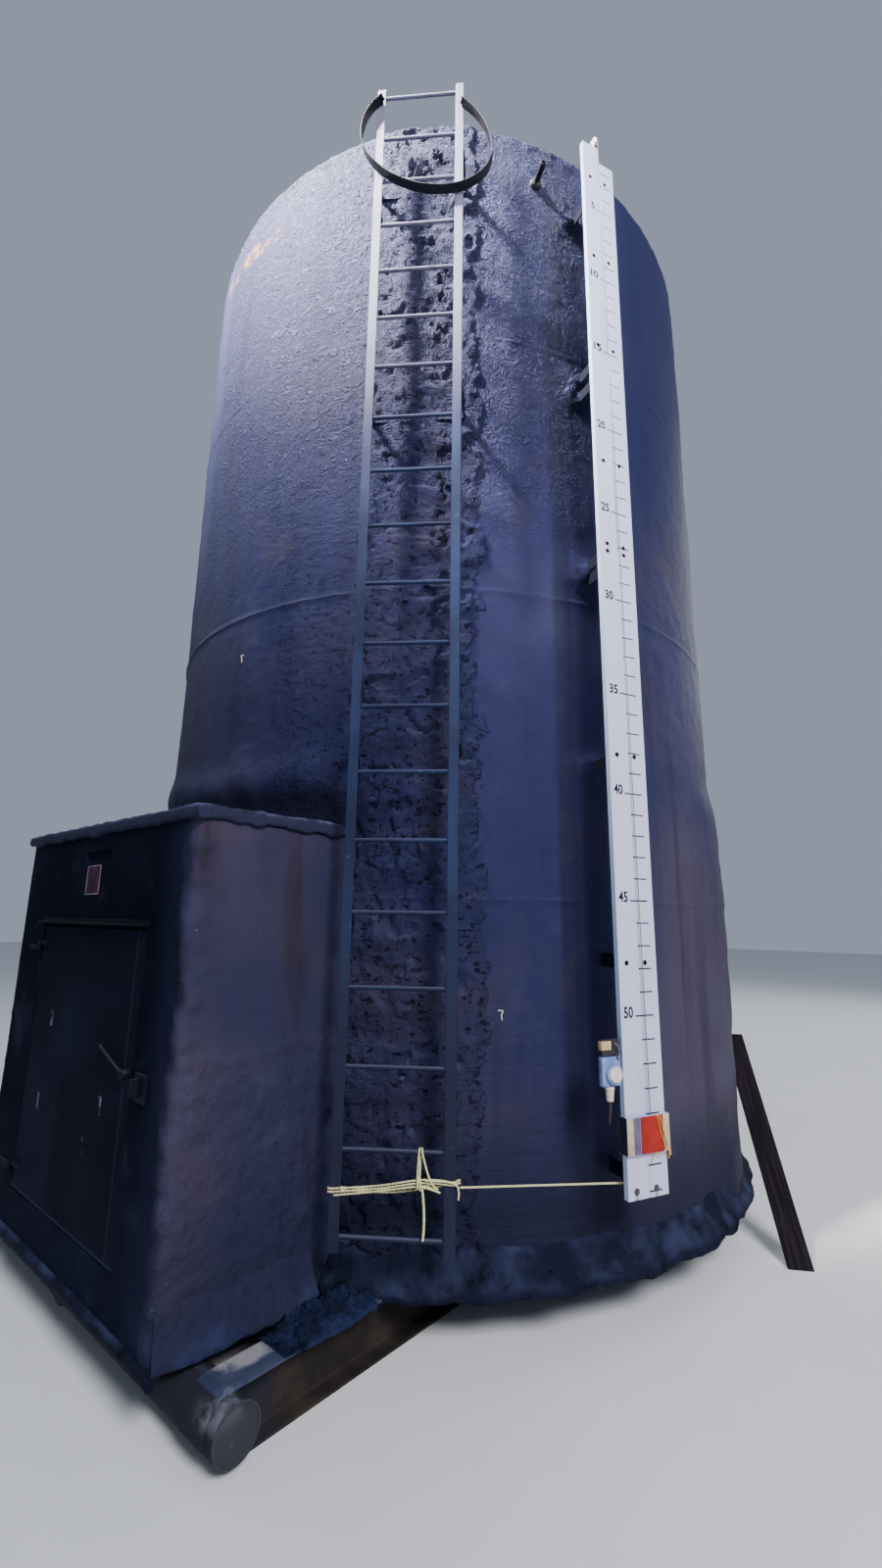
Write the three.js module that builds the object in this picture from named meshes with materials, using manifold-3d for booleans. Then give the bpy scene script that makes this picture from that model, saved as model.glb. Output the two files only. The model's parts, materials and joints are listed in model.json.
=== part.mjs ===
// Insulated vertical storage tank on a skid, with a valve house, a ladder and a float gauge board.
// Millimetres, +Z up. The tank's axis stands on X = Y = 0, and the skid rests on Z = 0.
// The valve house looks towards -Y, and the skid's runners lie along Y.
import * as THREE from "three";
import { mergeVertices } from "three/addons/utils/BufferGeometryUtils.js";
import Module from "manifold-3d";

const wasm = await Module();
wasm.setup();

// Gap kept between pieces that touch each other.
const GAP = 0.3;

// Skid: two wide-flange runners eight inches high, cross members, and a six-inch pull pipe at each end,
// which lies under the runners' upper flanges, with the flanges' ends bent down over it as saddles.
const RUNNER_OUTER_X = 1130;
const FLANGE_WIDTH = 135;
const FLANGE_THICK = 10;
const WEB_THICK = 8;
const SKID_TOP = 203;
const PIPE_RADIUS = 84;
const PIPE_SIDES = 24;
const PIPE_HALF_LENGTH = 1180;
const PIPE_Z = SKID_TOP - FLANGE_THICK - GAP - PIPE_RADIUS * Math.cos(Math.PI / PIPE_SIDES);
const PIPE_CAP = { radius: 77, recess: 4 };
const PIPE_FRONT_Y = -2260;
const PIPE_REAR_Y = 2110;
const SADDLE_END = THREE.MathUtils.degToRad(-15);
const SADDLE_STEPS = 10;
const CROSS_MEMBER_Y = { front: -1500, middle: 0, rear: 1500 };
const CROSS_MEMBER_WIDTH = 90;

// Tank: four courses five feet high make a shell twenty feet high and twelve feet across the steel.
const SIDES = 72;
const SHELL_OUTER = 1880;
const SHELL_INNER = 1824;
const COURSE_HEIGHT = 1524;
const COURSE_NAMES = ["shell_course_bottom", "shell_course_second", "shell_course_third", "shell_course_top"];
const BOTTOM_PLATE = 8;
const BOTTOM_Z = SKID_TOP + GAP;
const SHELL_BASE = BOTTOM_Z + BOTTOM_PLATE + GAP;
const SHELL_TOP = SHELL_BASE + COURSE_NAMES.length * COURSE_HEIGHT;
const SHOULDER = { low: 60, mid: 24, inset: 28 };
const ROOF_RISE = 152;
const ROOF_COAT = 25;

// Flared foam lip round the foot of the shell: its section as radius and height.
const LIP_SECTION = [
  [SHELL_OUTER + GAP, 196],
  [1905, 180],
  [1962, 178],
  [1984, 196],
  [1976, 226],
  [1932, 282],
  [1904, 330],
  [SHELL_OUTER + GAP, 344],
];

// Valve house: foam-coated walls on the front of the tank.
const HOUSE = { left: -930, right: 890, front: -2410, wall: 60, top: 2010 };
const HOUSE_BASE = SKID_TOP + GAP;
const HOUSE_ROOF = { thick: 62, overhang: 18, bevel: 14 };
const DOORWAY = { left: -586, right: 556, low: 382, high: 1593 };
const DOOR = { left: -580, right: 548, low: 388, high: 1587, front: -2406, thick: 50 };
const SKIRT = { low: 172, back: -2391.5, front: -2434, top: 226, side: 10 };
// Foam flare at the foot of each side wall: its section as reach from the wall and height.
const SIDE_LIP = [
  [GAP, 0],
  [86, 0],
  [92, 10],
  [70, 26],
  [34, 50],
  [14, 88],
  [GAP, 104],
];
const SIDE_LIP_BACK = -1780;

// Door furniture.
const HINGE_AXIS = { x: -592, y: -2424 };
const HINGE_HEIGHTS = { top: 1490, bottom: 475 };
const HINGE = { plate: 8, height: 50, barrel: 9, wallReach: 165, doorReach: 110 };
const HANDLE = { x: 505, z: 1045, tipX: 272, tipZ: 1122, radius: 9, boss: 22, stand: 26 };
const KEEPER = { left: 600, right: 690, low: 970, high: 1070, thick: 8, depth: 34 };
const DRIP_CAP = { left: -604, right: 574, low: 1604, thick: 8, reach: 32, height: 26 };
const SIGN = { left: -147, right: 79, low: 1730, high: 1876, thick: 4 };

// Gauge board, in a frame turned to its place on the tank: out from the axis, across, and up.
const GAUGE_ANGLE = THREE.MathUtils.degToRad(-24.4);
const BOARD = { left: -148, right: 58, front: 2140, back: 2115, low: 572, high: 6000, step: 5900 };
const BOARD_JOINTS = [3430, 4565];
const GROOVE = { left: -45, right: -35, depth: 8 };
const GAUGE_BRACKET_HEIGHTS = { lower: [620, 1475, 2388, 3390], middle: [3470, 4525], upper: [4640, 5760] };
const GAUGE_BRACKET = { height: 60, plate: 6, foot: 60 };
const TARGET = { left: -155, right: 65, low: 738, high: 877, back: 2146, front: 2157 };
const TARGET_FLANGE = { back: 2114, thick: 4 };
const TARGET_PAD = { size: 16, inset: 12, reach: 2140.4 };
const PULLEY = { across: -52, wheel: 45, wheelHalf: 7, cheekGap: 4, cheek: 5, axle: 6, axleZ: 6057 };
const GAUGE_CABLE = { radius: 2.5, footAcross: -27 };
const SENSOR = { left: -268, right: -163, low: 1000, high: 1180, back: 2126, front: 2154 };
const SENSOR_CAP = { across: -207, z: 1048, radius: 38, thick: 18 };
const SENSOR_ARM = { back: 2094, front: 2102, outer: -215, inner: -100, foot: 30, low: 1040, high: 1100 };
const GLAND = { across: -220, out: 2140, radius: 19, length: 54 };
const SENSOR_CABLE = { radius: 6.5, drop: 80, drift: -10 };

// Ladder, in a frame turned to its place on the tank.
const LADDER_ANGLE = THREE.MathUtils.degToRad(-53.7);
const RUNG_PITCH = 304.8;
const RUNG_COUNT = 20;
const LOWEST_RUNG = 452;
const RUNG_RADIUS = 9.5;
const RUNG_OUT = 2058;
const RAIL = { inner: 200, outer: 245, thick: 6, low: 400, high: 6292 };
const RAIL_FRONT = RUNG_OUT + RUNG_RADIUS + RAIL.thick - 1;
const LADDER_SPLICE = LOWEST_RUNG + 9.5 * RUNG_PITCH;
const LADDER_BRACKET_HEIGHTS = [905, 2430, 4260, 5780];
const LADDER_BRACKET = { height: 50, plate: 8 };

// Hoop: a flat bar bent to a skewed loop that hangs in front of the rails' upper ends.
const HOOP = { across: 40, up: 5826, halfWidth: 363, skew: -101, lower: 316, upper: 400 };
const HOOP_BAND = { width: 50, thick: 6 };
const HOOP_ENDS = { right: THREE.MathUtils.degToRad(57), left: THREE.MathUtils.degToRad(-226) };
const HOOP_STEPS = 36;

// Small stub under the rim.
const STUB = { angle: THREE.MathUtils.degToRad(-33.2), height: 5950, radius: 17, tip: 2008 };

// Clean-out box on the far side of the gauge board, and the board that leans on its corner.
const CLEANOUT_ANGLE = THREE.MathUtils.degToRad(40.6);
const CLEANOUT = { half: 360, low: 225, high: 1400, face: 1930, plate: 12 };
const PLANK = { foot: [2184, 201], top: [1707, 976], height: 935, wide: 118, thick: 14 };

// Rope tied round the gauge board's lowest bracket and across the ladder.
const ROPE_RADIUS = 5;
const ROPE_RING_OUT = 2095;
const ROPE_HEIGHT = { bracket: 614, ladder: 641 };
const WRAP = { low: 638, high: 678, thick: 12, back: 2010 };
const TAIL = { across: 118, drop: 176, sway: 9 };

const root = new THREE.Group();

// A place given out from the tank's axis, across and up, at an angle round the tank.
function around(angle, out, across, up) {
  return new THREE.Vector3(
    out * Math.cos(angle) - across * Math.sin(angle),
    out * Math.sin(angle) + across * Math.cos(angle),
    up,
  );
}

function box(x, y, z) {
  const size = [x, y, z].map(([low, high]) => high - low);
  const middle = [x, y, z].map(([low, high]) => (high + low) / 2);
  return new THREE.BoxGeometry(...size).translate(...middle);
}

// A solid of revolution about Z from a closed section of radius and height.
function turned(section) {
  const points = section.map(([radius, height]) => new THREE.Vector2(radius, height));
  return new THREE.LatheGeometry(points, SIDES).rotateX(Math.PI / 2);
}

// An outline in X and Y raised from one height to another.
function prism(outline, low, high) {
  const shape = new THREE.Shape(outline.map(([x, y]) => new THREE.Vector2(x, y)));
  return new THREE.ExtrudeGeometry(shape, { depth: high - low, bevelEnabled: false }).translate(0, 0, low);
}

// A round bar between two places.
function rod(from, to, radius, sides) {
  const way = new THREE.Vector3().subVectors(to, from);
  const turn = new THREE.Quaternion().setFromUnitVectors(new THREE.Vector3(0, 1, 0), way.clone().normalize());
  const middle = new THREE.Vector3().addVectors(from, to).multiplyScalar(0.5);
  return new THREE.CylinderGeometry(radius, radius, way.length(), sides)
    .applyQuaternion(turn)
    .translate(middle.x, middle.y, middle.z);
}

// A round bar along a curve.
function tube(points, radius, sides, steps) {
  const curve = new THREE.CatmullRomCurve3(points);
  const section = new THREE.Shape(
    Array.from({ length: sides }, (_, i) => {
      const turn = (2 * Math.PI * i) / sides;
      return new THREE.Vector2(radius * Math.cos(turn), radius * Math.sin(turn));
    }),
  );
  return new THREE.ExtrudeGeometry(section, { steps, extrudePath: curve, bevelEnabled: false });
}

// A geometry as a closed solid with shared corners and its faces turned outwards.
function solid(geometry) {
  const bare = new THREE.BufferGeometry();
  const source = geometry.index ? geometry.toNonIndexed() : geometry;
  bare.setAttribute("position", source.getAttribute("position"));
  const merged = mergeVertices(bare, 1e-3);
  const corners = merged.index.array;
  const faces = [];
  for (let i = 0; i < corners.length; i += 3) {
    const [a, b, c] = corners.slice(i, i + 3);
    if (a !== b && b !== c && c !== a) faces.push(a, b, c);
  }
  const build = (triVerts) =>
    new wasm.Manifold(
      new wasm.Mesh({
        numProp: 3,
        vertProperties: merged.attributes.position.array,
        triVerts: new Uint32Array(triVerts),
      }),
    );
  const made = build(faces);
  return made.volume() > 0 ? made : build(faces.reverse());
}

function geometryOf(made) {
  const mesh = made.getMesh();
  const points = new Float32Array(mesh.numVert * 3);
  for (let i = 0; i < mesh.numVert; i++) {
    points.set(mesh.vertProperties.subarray(i * mesh.numProp, i * mesh.numProp + 3), i * 3);
  }
  const geometry = new THREE.BufferGeometry();
  geometry.setAttribute("position", new THREE.BufferAttribute(points, 3));
  geometry.setIndex(new THREE.BufferAttribute(mesh.triVerts, 1));
  geometry.computeVertexNormals();
  return geometry;
}

const joined = (...geometries) => geometryOf(geometries.map(solid).reduce((a, b) => a.add(b)));
const cut = (geometry, ...cutters) =>
  geometryOf(cutters.map(solid).reduce((a, b) => a.subtract(b), solid(geometry)));

// The space that the shell fills, a gap wider, for seating what is fixed to it.
const shellSpace = turned([
  [0, -10],
  [SHELL_OUTER + GAP, -10],
  [SHELL_OUTER + GAP, SHELL_TOP + 400],
  [0, SHELL_TOP + 400],
]);

// Finishes: each call gives a new material.
const finish = (color, roughness, metalness) => new THREE.MeshStandardMaterial({ color, roughness, metalness });
const coating = () => finish(0x3b3e4d, 0.75, 0);
const lipFoam = () => finish(0x55627e, 0.8, 0);
const skidPaint = () => finish(0x7c8291, 0.6, 0.3);
const houseCoating = () => finish(0x343a4c, 0.7, 0);
const ladderSteel = () => finish(0x77777f, 0.5, 0.5);
const hoopSteel = () => finish(0x26272e, 0.5, 0.5);
const hardware = () => finish(0x3a3a40, 0.5, 0.6);
const boardPaint = () => finish(0xe3e4ea, 0.45, 0);
const redPaint = () => finish(0x7a1f2a, 0.5, 0);
const ropeFibre = () => finish(0xe9e3a4, 0.9, 0);
const blackRubber = () => finish(0x101013, 0.6, 0);
const paleCap = () => finish(0xcfcabb, 0.5, 0);
const oldTimber = () => finish(0x3f2f33, 0.85, 0);

function add(name, geometry, material, parent = root) {
  const mesh = new THREE.Mesh(geometry, material);
  mesh.name = name;
  parent.add(mesh);
  return mesh;
}

// Skid
function roundBar(radius, halfLength, y) {
  const turn = Math.PI / PIPE_SIDES;
  return new THREE.CylinderGeometry(radius, radius, 2 * halfLength, PIPE_SIDES, 1, false, turn)
    .rotateZ(Math.PI / 2)
    .translate(0, y, PIPE_Z);
}

// A pull pipe, closed by an end plate that lies a little inside its rim.
function pullPipe(y) {
  const recesses = [-1, 1].map((end) =>
    roundBar(PIPE_CAP.radius, PIPE_CAP.recess, y).translate(end * PIPE_HALF_LENGTH, 0, 0),
  );
  return cut(roundBar(PIPE_RADIUS, PIPE_HALF_LENGTH, y), ...recesses);
}

// The room that a pull pipe takes out of the runner welded to it.
const pipeSpace = (y) => roundBar(PIPE_RADIUS + GAP, PIPE_HALF_LENGTH, y);

// The end of the upper flange, bent down over the outer side of a pull pipe.
function saddle(y, outward) {
  const inner = PIPE_RADIUS + GAP;
  const outer = SKID_TOP - PIPE_Z;
  const arc = (radius, from, to) =>
    Array.from({ length: SADDLE_STEPS + 1 }, (_, i) => {
      const turn = from + ((to - from) * i) / SADDLE_STEPS;
      return [outward * radius * Math.cos(turn), radius * Math.sin(turn)];
    });
  const section = [...arc(outer, Math.PI / 2, SADDLE_END), ...arc(inner, SADDLE_END, Math.PI / 2)];
  return prism(section, -FLANGE_WIDTH / 2, FLANGE_WIDTH / 2)
    .rotateX(Math.PI / 2)
    .rotateZ(Math.PI / 2)
    .translate(0, y, PIPE_Z);
}

function runner() {
  const half = FLANGE_WIDTH / 2;
  const web = WEB_THICK / 2;
  const low = FLANGE_THICK;
  const high = SKID_TOP - FLANGE_THICK;
  const outline = [
    [-half, 0],
    [half, 0],
    [half, low],
    [web, low],
    [web, high],
    [half, high],
    [half, SKID_TOP],
    [-half, SKID_TOP],
    [-half, high],
    [-web, high],
    [-web, low],
    [-half, low],
  ];
  const length = PIPE_REAR_Y - PIPE_FRONT_Y;
  const beam = prism(outline, 0, length)
    .rotateX(Math.PI / 2)
    .translate(0, PIPE_REAR_Y, 0);
  const whole = joined(beam, saddle(PIPE_FRONT_Y, -1), saddle(PIPE_REAR_Y, 1));
  return cut(whole, pipeSpace(PIPE_FRONT_Y), pipeSpace(PIPE_REAR_Y));
}

function crossMember() {
  const half = CROSS_MEMBER_WIDTH / 2;
  const outline = [
    [-half, 0],
    [half, 0],
    [half, FLANGE_THICK],
    [WEB_THICK - half, FLANGE_THICK],
    [WEB_THICK - half, SKID_TOP - FLANGE_THICK],
    [half, SKID_TOP - FLANGE_THICK],
    [half, SKID_TOP],
    [-half, SKID_TOP],
  ];
  const reach = RUNNER_OUTER_X - FLANGE_WIDTH - GAP;
  return prism(outline, -reach, reach).rotateX(Math.PI / 2).rotateZ(Math.PI / 2);
}

const runnerX = RUNNER_OUTER_X - FLANGE_WIDTH / 2;
add("skid_runner_right", runner(), skidPaint()).position.x = runnerX;
add("skid_runner_left", runner(), skidPaint()).position.x = -runnerX;
add("pull_pipe_front", pullPipe(PIPE_FRONT_Y), skidPaint());
add("pull_pipe_rear", pullPipe(PIPE_REAR_Y), skidPaint());
for (const [place, y] of Object.entries(CROSS_MEMBER_Y)) {
  add(`cross_member_${place}`, crossMember(), skidPaint()).position.y = y;
}

// Tank shell, bottom and roof
add(
  "tank_bottom",
  turned([
    [0, BOTTOM_Z],
    [SHELL_OUTER, BOTTOM_Z],
    [SHELL_OUTER, BOTTOM_Z + BOTTOM_PLATE],
    [0, BOTTOM_Z + BOTTOM_PLATE],
  ]),
  skidPaint(),
);

COURSE_NAMES.forEach((name, i) => {
  const low = SHELL_BASE + i * COURSE_HEIGHT;
  const high = low + COURSE_HEIGHT - GAP;
  const top = i === COURSE_NAMES.length - 1;
  const shoulder = [
    [SHELL_OUTER, high - SHOULDER.low],
    [SHELL_OUTER - 8, high - SHOULDER.mid],
    [SHELL_OUTER - SHOULDER.inset, high],
  ];
  const section = [
    [SHELL_INNER, low],
    [SHELL_OUTER, low],
    ...(top ? shoulder : [[SHELL_OUTER, high]]),
    [SHELL_INNER, high],
    [SHELL_INNER, low],
  ];
  add(name, turned(section), coating());
});

add(
  "roof",
  turned([
    [0, SHELL_TOP + ROOF_RISE],
    [SHELL_INNER, SHELL_TOP],
    [SHELL_OUTER - SHOULDER.inset, SHELL_TOP],
    [SHELL_OUTER - SHOULDER.inset - 16, SHELL_TOP + 14],
    [SHELL_OUTER - SHOULDER.inset - 50, SHELL_TOP + ROOF_COAT],
    [0, SHELL_TOP + ROOF_RISE + ROOF_COAT],
  ]),
  coating(),
);

const stubFoot = around(STUB.angle, SHELL_OUTER - 20, 0, STUB.height);
const stubTip = around(STUB.angle, STUB.tip, 0, STUB.height);
add("rim_stub", cut(rod(stubFoot, stubTip, STUB.radius, 12), shellSpace), hardware());

// Foam lip round the foot, open at the valve house and at the clean-out box
const houseSpace = box([HOUSE.left - 4, HOUSE.right + 4], [-2600, -900], [0, 900]);
const besideCleanout = [-CLEANOUT.half - 4, CLEANOUT.half + 4];
const cleanoutSpace = box([1500, 2300], besideCleanout, [0, 900]).rotateZ(CLEANOUT_ANGLE);
const flangeSpaces = [-runnerX, runnerX].map((x) =>
  box([x - FLANGE_WIDTH / 2 - 2, x + FLANGE_WIDTH / 2 + 2], [-2300, 2300], [0, SKID_TOP + GAP]),
);
const wholeLip = turned([...LIP_SECTION, LIP_SECTION[0]]);
const lipRing = solid(cut(wholeLip, houseSpace, cleanoutSpace, ...flangeSpaces));
const [shortLip, longLip] = lipRing.decompose().sort((a, b) => a.volume() - b.volume());
add("foot_lip_right", geometryOf(shortLip), lipFoam());
add("foot_lip_rear", geometryOf(longLip), lipFoam());

// Valve house
function houseBox(name, x, y, z, material = houseCoating()) {
  add(name, cut(box(x, y, z), shellSpace), material);
}
const innerFront = HOUSE.front + HOUSE.wall;
const houseBack = -1300;
const houseHeight = [HOUSE_BASE, HOUSE.top];
const frontDepth = [HOUSE.front, innerFront];
const sideDepth = [innerFront + GAP, houseBack];
houseBox("front_wall_left", [HOUSE.left, DOORWAY.left], frontDepth, houseHeight);
houseBox("front_wall_right", [DOORWAY.right, HOUSE.right], frontDepth, houseHeight);
const doorwayWidth = [DOORWAY.left + GAP, DOORWAY.right - GAP];
houseBox("front_wall_header", doorwayWidth, frontDepth, [DOORWAY.high, HOUSE.top]);
houseBox("front_wall_sill", doorwayWidth, frontDepth, [HOUSE_BASE, DOORWAY.low]);
houseBox("side_wall_left", [HOUSE.left, HOUSE.left + HOUSE.wall], sideDepth, houseHeight);
houseBox("side_wall_right", [HOUSE.right - HOUSE.wall, HOUSE.right], sideDepth, houseHeight);
// The floor plate lies on the front pull pipe and carries the walls.
const floorDepth = [SKIRT.back + GAP, houseBack];
const floorHeight = [SKID_TOP - FLANGE_THICK, SKID_TOP];
houseBox("house_floor", [HOUSE.left, HOUSE.right], floorDepth, floorHeight, skidPaint());

// Foam lip along the front wall's foot.
function houseSkirt() {
  const outline = [
    [SKIRT.back, SKIRT.low],
    [SKIRT.back, SKID_TOP],
    [HOUSE.front - GAP, SKID_TOP],
    [HOUSE.front - GAP, SKIRT.top],
    [SKIRT.front + 12, SKIRT.top - 8],
    [SKIRT.front, SKID_TOP],
    [SKIRT.front + 8, SKIRT.low],
  ];
  return prism(outline, HOUSE.left - SKIRT.side, HOUSE.right + SKIRT.side)
    .rotateX(Math.PI / 2)
    .rotateZ(Math.PI / 2);
}
add("house_skirt", houseSkirt(), lipFoam());

function sideLip(side) {
  const outline = SIDE_LIP.map(([reach, height]) => [side * reach, height]);
  const edge = side > 0 ? HOUSE.right : HOUSE.left;
  return prism(outline, -SIDE_LIP_BACK, -HOUSE.front)
    .rotateX(Math.PI / 2)
    .translate(edge, 0, HOUSE_BASE);
}
add("house_foot_lip_left", sideLip(-1), lipFoam());
add("house_foot_lip_right", sideLip(1), lipFoam());

function houseRoof() {
  const over = HOUSE_ROOF.overhang - HOUSE_ROOF.bevel;
  const shape = new THREE.Shape([
    new THREE.Vector2(HOUSE.left - over, HOUSE.front - over),
    new THREE.Vector2(HOUSE.right + over, HOUSE.front - over),
    new THREE.Vector2(HOUSE.right + over, houseBack),
    new THREE.Vector2(HOUSE.left - over, houseBack),
  ]);
  const slab = new THREE.ExtrudeGeometry(shape, {
    depth: HOUSE_ROOF.thick - 2 * HOUSE_ROOF.bevel,
    bevelSize: HOUSE_ROOF.bevel,
    bevelThickness: HOUSE_ROOF.bevel,
    bevelSegments: 2,
  }).translate(0, 0, HOUSE.top + GAP + HOUSE_ROOF.bevel);
  return cut(slab, shellSpace);
}
add("house_roof", houseRoof(), houseCoating());

// Door and its furniture
const wallFace = HOUSE.front - GAP;
const doorFace = DOOR.front - GAP;
function barrel(low, high) {
  const foot = new THREE.Vector3(HINGE_AXIS.x, HINGE_AXIS.y, low);
  const head = new THREE.Vector3(HINGE_AXIS.x, HINGE_AXIS.y, high);
  return rod(foot, head, HINGE.barrel, 12);
}

function wallHinge(z) {
  const low = z - HINGE.height / 2;
  const plate = box(
    [HINGE_AXIS.x - HINGE.wallReach, HINGE_AXIS.x],
    [wallFace - HINGE.plate, wallFace],
    [low, z - GAP / 2],
  );
  return joined(plate, barrel(low, z - GAP / 2));
}

// The strap welded to the door on a packing plate, with the upper half of the hinge's barrel.
function doorStrap(z) {
  const height = [z + GAP / 2, z + HINGE.height / 2];
  const end = HINGE_AXIS.x + HINGE.doorReach;
  const strapBack = wallFace - 1;
  return [
    box([HINGE_AXIS.x, end], [strapBack - HINGE.plate, strapBack], height),
    box([DOOR.left + 10, end], [strapBack - 1, DOOR.front + 1], height),
    barrel(...height),
  ];
}

const leaf = box([DOOR.left, DOOR.right], [DOOR.front, DOOR.front + DOOR.thick], [DOOR.low, DOOR.high]);
add("door", joined(leaf, ...Object.values(HINGE_HEIGHTS).flatMap(doorStrap)), houseCoating());
for (const [place, z] of Object.entries(HINGE_HEIGHTS)) {
  add(`hinge_${place}`, wallHinge(z), hardware());
}

function handle() {
  const foot = new THREE.Vector3(HANDLE.x, doorFace, HANDLE.z);
  const knuckle = new THREE.Vector3(HANDLE.x, doorFace - HANDLE.stand, HANDLE.z);
  const tip = new THREE.Vector3(HANDLE.tipX, doorFace - HANDLE.stand + HANDLE.radius, HANDLE.tipZ);
  const start = knuckle.clone().setY(tip.y);
  return joined(rod(foot, knuckle, HANDLE.boss, 16), rod(start, tip, HANDLE.radius, 10));
}
add("door_handle", handle(), hardware());

const keeperPlate = box(
  [KEEPER.left, KEEPER.right],
  [wallFace - KEEPER.thick, wallFace],
  [KEEPER.low, KEEPER.high],
);
const keeperLoop = box(
  [KEEPER.left + 20, KEEPER.left + 34],
  [wallFace - KEEPER.depth, wallFace - 1],
  [KEEPER.low + 18, KEEPER.high - 18],
);
add("door_keeper", joined(keeperPlate, keeperLoop), hardware());

const dripUpright = box(
  [DRIP_CAP.left, DRIP_CAP.right],
  [wallFace - DRIP_CAP.thick, wallFace],
  [DRIP_CAP.low, DRIP_CAP.low + DRIP_CAP.height],
);
const dripShelf = box(
  [DRIP_CAP.left, DRIP_CAP.right],
  [wallFace - DRIP_CAP.reach, wallFace],
  [DRIP_CAP.low, DRIP_CAP.low + DRIP_CAP.thick],
);
add("drip_cap", joined(dripUpright, dripShelf), hardware());
const sign = box([SIGN.left, SIGN.right], [wallFace - SIGN.thick, wallFace], [SIGN.low, SIGN.high]);
add("sign_plate", sign, redPaint());

// Gauge board: X points out from the tank here, and Y across the board
const gauge = new THREE.Group();
gauge.rotation.z = GAUGE_ANGLE;
root.add(gauge);

function boardSection(low, high) {
  const outline = [
    [BOARD.back, BOARD.left],
    [BOARD.front, BOARD.left],
    [BOARD.front, GROOVE.left],
    [BOARD.front - GROOVE.depth, GROOVE.left],
    [BOARD.front - GROOVE.depth, GROOVE.right],
    [BOARD.front, GROOVE.right],
    [BOARD.front, BOARD.right],
    [BOARD.back, BOARD.right],
  ];
  return prism(outline, low, high);
}
// Bracket that holds the board off the shell: a bar behind the board, a stem and a foot.
function gaugeBracket(z) {
  const height = [z - GAUGE_BRACKET.height / 2, z + GAUGE_BRACKET.height / 2];
  const middle = (BOARD.left + BOARD.right) / 2;
  const sunk = SHELL_OUTER - 30;
  return [
    box([BOARD.back - GAUGE_BRACKET.plate, BOARD.back + 1], [BOARD.left + 8, BOARD.right - 8], height),
    box([sunk, BOARD.back - 1], [middle, middle + GAUGE_BRACKET.plate], height),
    box([sunk, SHELL_OUTER + 8], [middle - GAUGE_BRACKET.foot, middle + GAUGE_BRACKET.foot], height),
  ];
}

// A section with its brackets is turned to its place first, so that their feet are cut to the shell.
function boardWithBrackets(low, high, bracketHeights, ...cutters) {
  const board = joined(boardSection(low, high), ...bracketHeights.flatMap(gaugeBracket));
  return cut(cut(board, ...cutters).rotateZ(GAUGE_ANGLE), shellSpace);
}
const [lowJoint, highJoint] = BOARD_JOINTS;
const stepHeight = [BOARD.step, BOARD.high + 10];
const stepSpace = box([BOARD.back - 10, BOARD.front + 10], [GROOVE.right, BOARD.right + 10], stepHeight);
const { lower, middle, upper } = GAUGE_BRACKET_HEIGHTS;
add("gauge_board_lower", boardWithBrackets(BOARD.low, lowJoint - GAP, lower), boardPaint());
add("gauge_board_middle", boardWithBrackets(lowJoint, highJoint - GAP, middle), boardPaint());
add("gauge_board_upper", boardWithBrackets(highJoint, BOARD.high, upper, stepSpace), boardPaint());

const targetHeight = [TARGET.low, TARGET.high];
const flangeDepth = [TARGET_FLANGE.back, TARGET.front];

// Carriage that wraps the board's two edges, with four shoes that slide on its face.
function target() {
  const plate = box([TARGET.back, TARGET.front], [TARGET.left, TARGET.right], targetHeight);
  const leftFlange = box(flangeDepth, [TARGET.left, TARGET.left + TARGET_FLANGE.thick], targetHeight);
  const rightFlange = box(flangeDepth, [TARGET.right - TARGET_FLANGE.thick, TARGET.right], targetHeight);
  const padAcross = [BOARD.left + TARGET_PAD.inset, BOARD.right - TARGET_PAD.inset - TARGET_PAD.size];
  const padUp = [TARGET.low + TARGET_PAD.inset, TARGET.high - TARGET_PAD.inset - TARGET_PAD.size];
  const pads = padAcross.flatMap((across) =>
    padUp.map((up) =>
      box([TARGET_PAD.reach, TARGET.back + 1], [across, across + TARGET_PAD.size], [up, up + TARGET_PAD.size]),
    ),
  );
  return joined(plate, leftFlange, rightFlange, ...pads);
}
add("gauge_target", target(), redPaint(), gauge);

// Pulley over the board's top: a foot, two cheeks, and a wheel on its axle, whose front the cable leaves.
const cableOut = (TARGET.back + TARGET.front) / 2;
function pulleyHead() {
  const wheelOut = cableOut - GAUGE_CABLE.radius - GAP - PULLEY.wheel;
  const inner = PULLEY.wheelHalf + PULLEY.cheekGap;
  const outer = inner + PULLEY.cheek;
  const across = (half) => [PULLEY.across - half, PULLEY.across + half];
  const foot = box([BOARD.back, BOARD.front], across(outer), [BOARD.high + GAP, BOARD.high + 6]);
  const cheeks = [-outer, inner].map((side) =>
    box(
      [wheelOut - 10, BOARD.front],
      [PULLEY.across + side, PULLEY.across + side + PULLEY.cheek],
      [BOARD.high + 2, PULLEY.axleZ + 12],
    ),
  );
  const turnedAcross = (half, radius, sides) =>
    rod(
      new THREE.Vector3(wheelOut, PULLEY.across - half, PULLEY.axleZ),
      new THREE.Vector3(wheelOut, PULLEY.across + half, PULLEY.axleZ),
      radius,
      sides,
    );
  const wheel = turnedAcross(PULLEY.wheelHalf, PULLEY.wheel, 24);
  const axle = turnedAcross(outer - 1, PULLEY.axle, 12);
  return joined(foot, ...cheeks, wheel, axle);
}
add("gauge_pulley_head", pulleyHead(), hardware(), gauge);

const cableFoot = new THREE.Vector3(cableOut, GAUGE_CABLE.footAcross, TARGET.high + GAP);
const cableHead = new THREE.Vector3(cableOut, PULLEY.across, PULLEY.axleZ);
add("gauge_cable", rod(cableFoot, cableHead, GAUGE_CABLE.radius, 8), hardware(), gauge);

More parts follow.
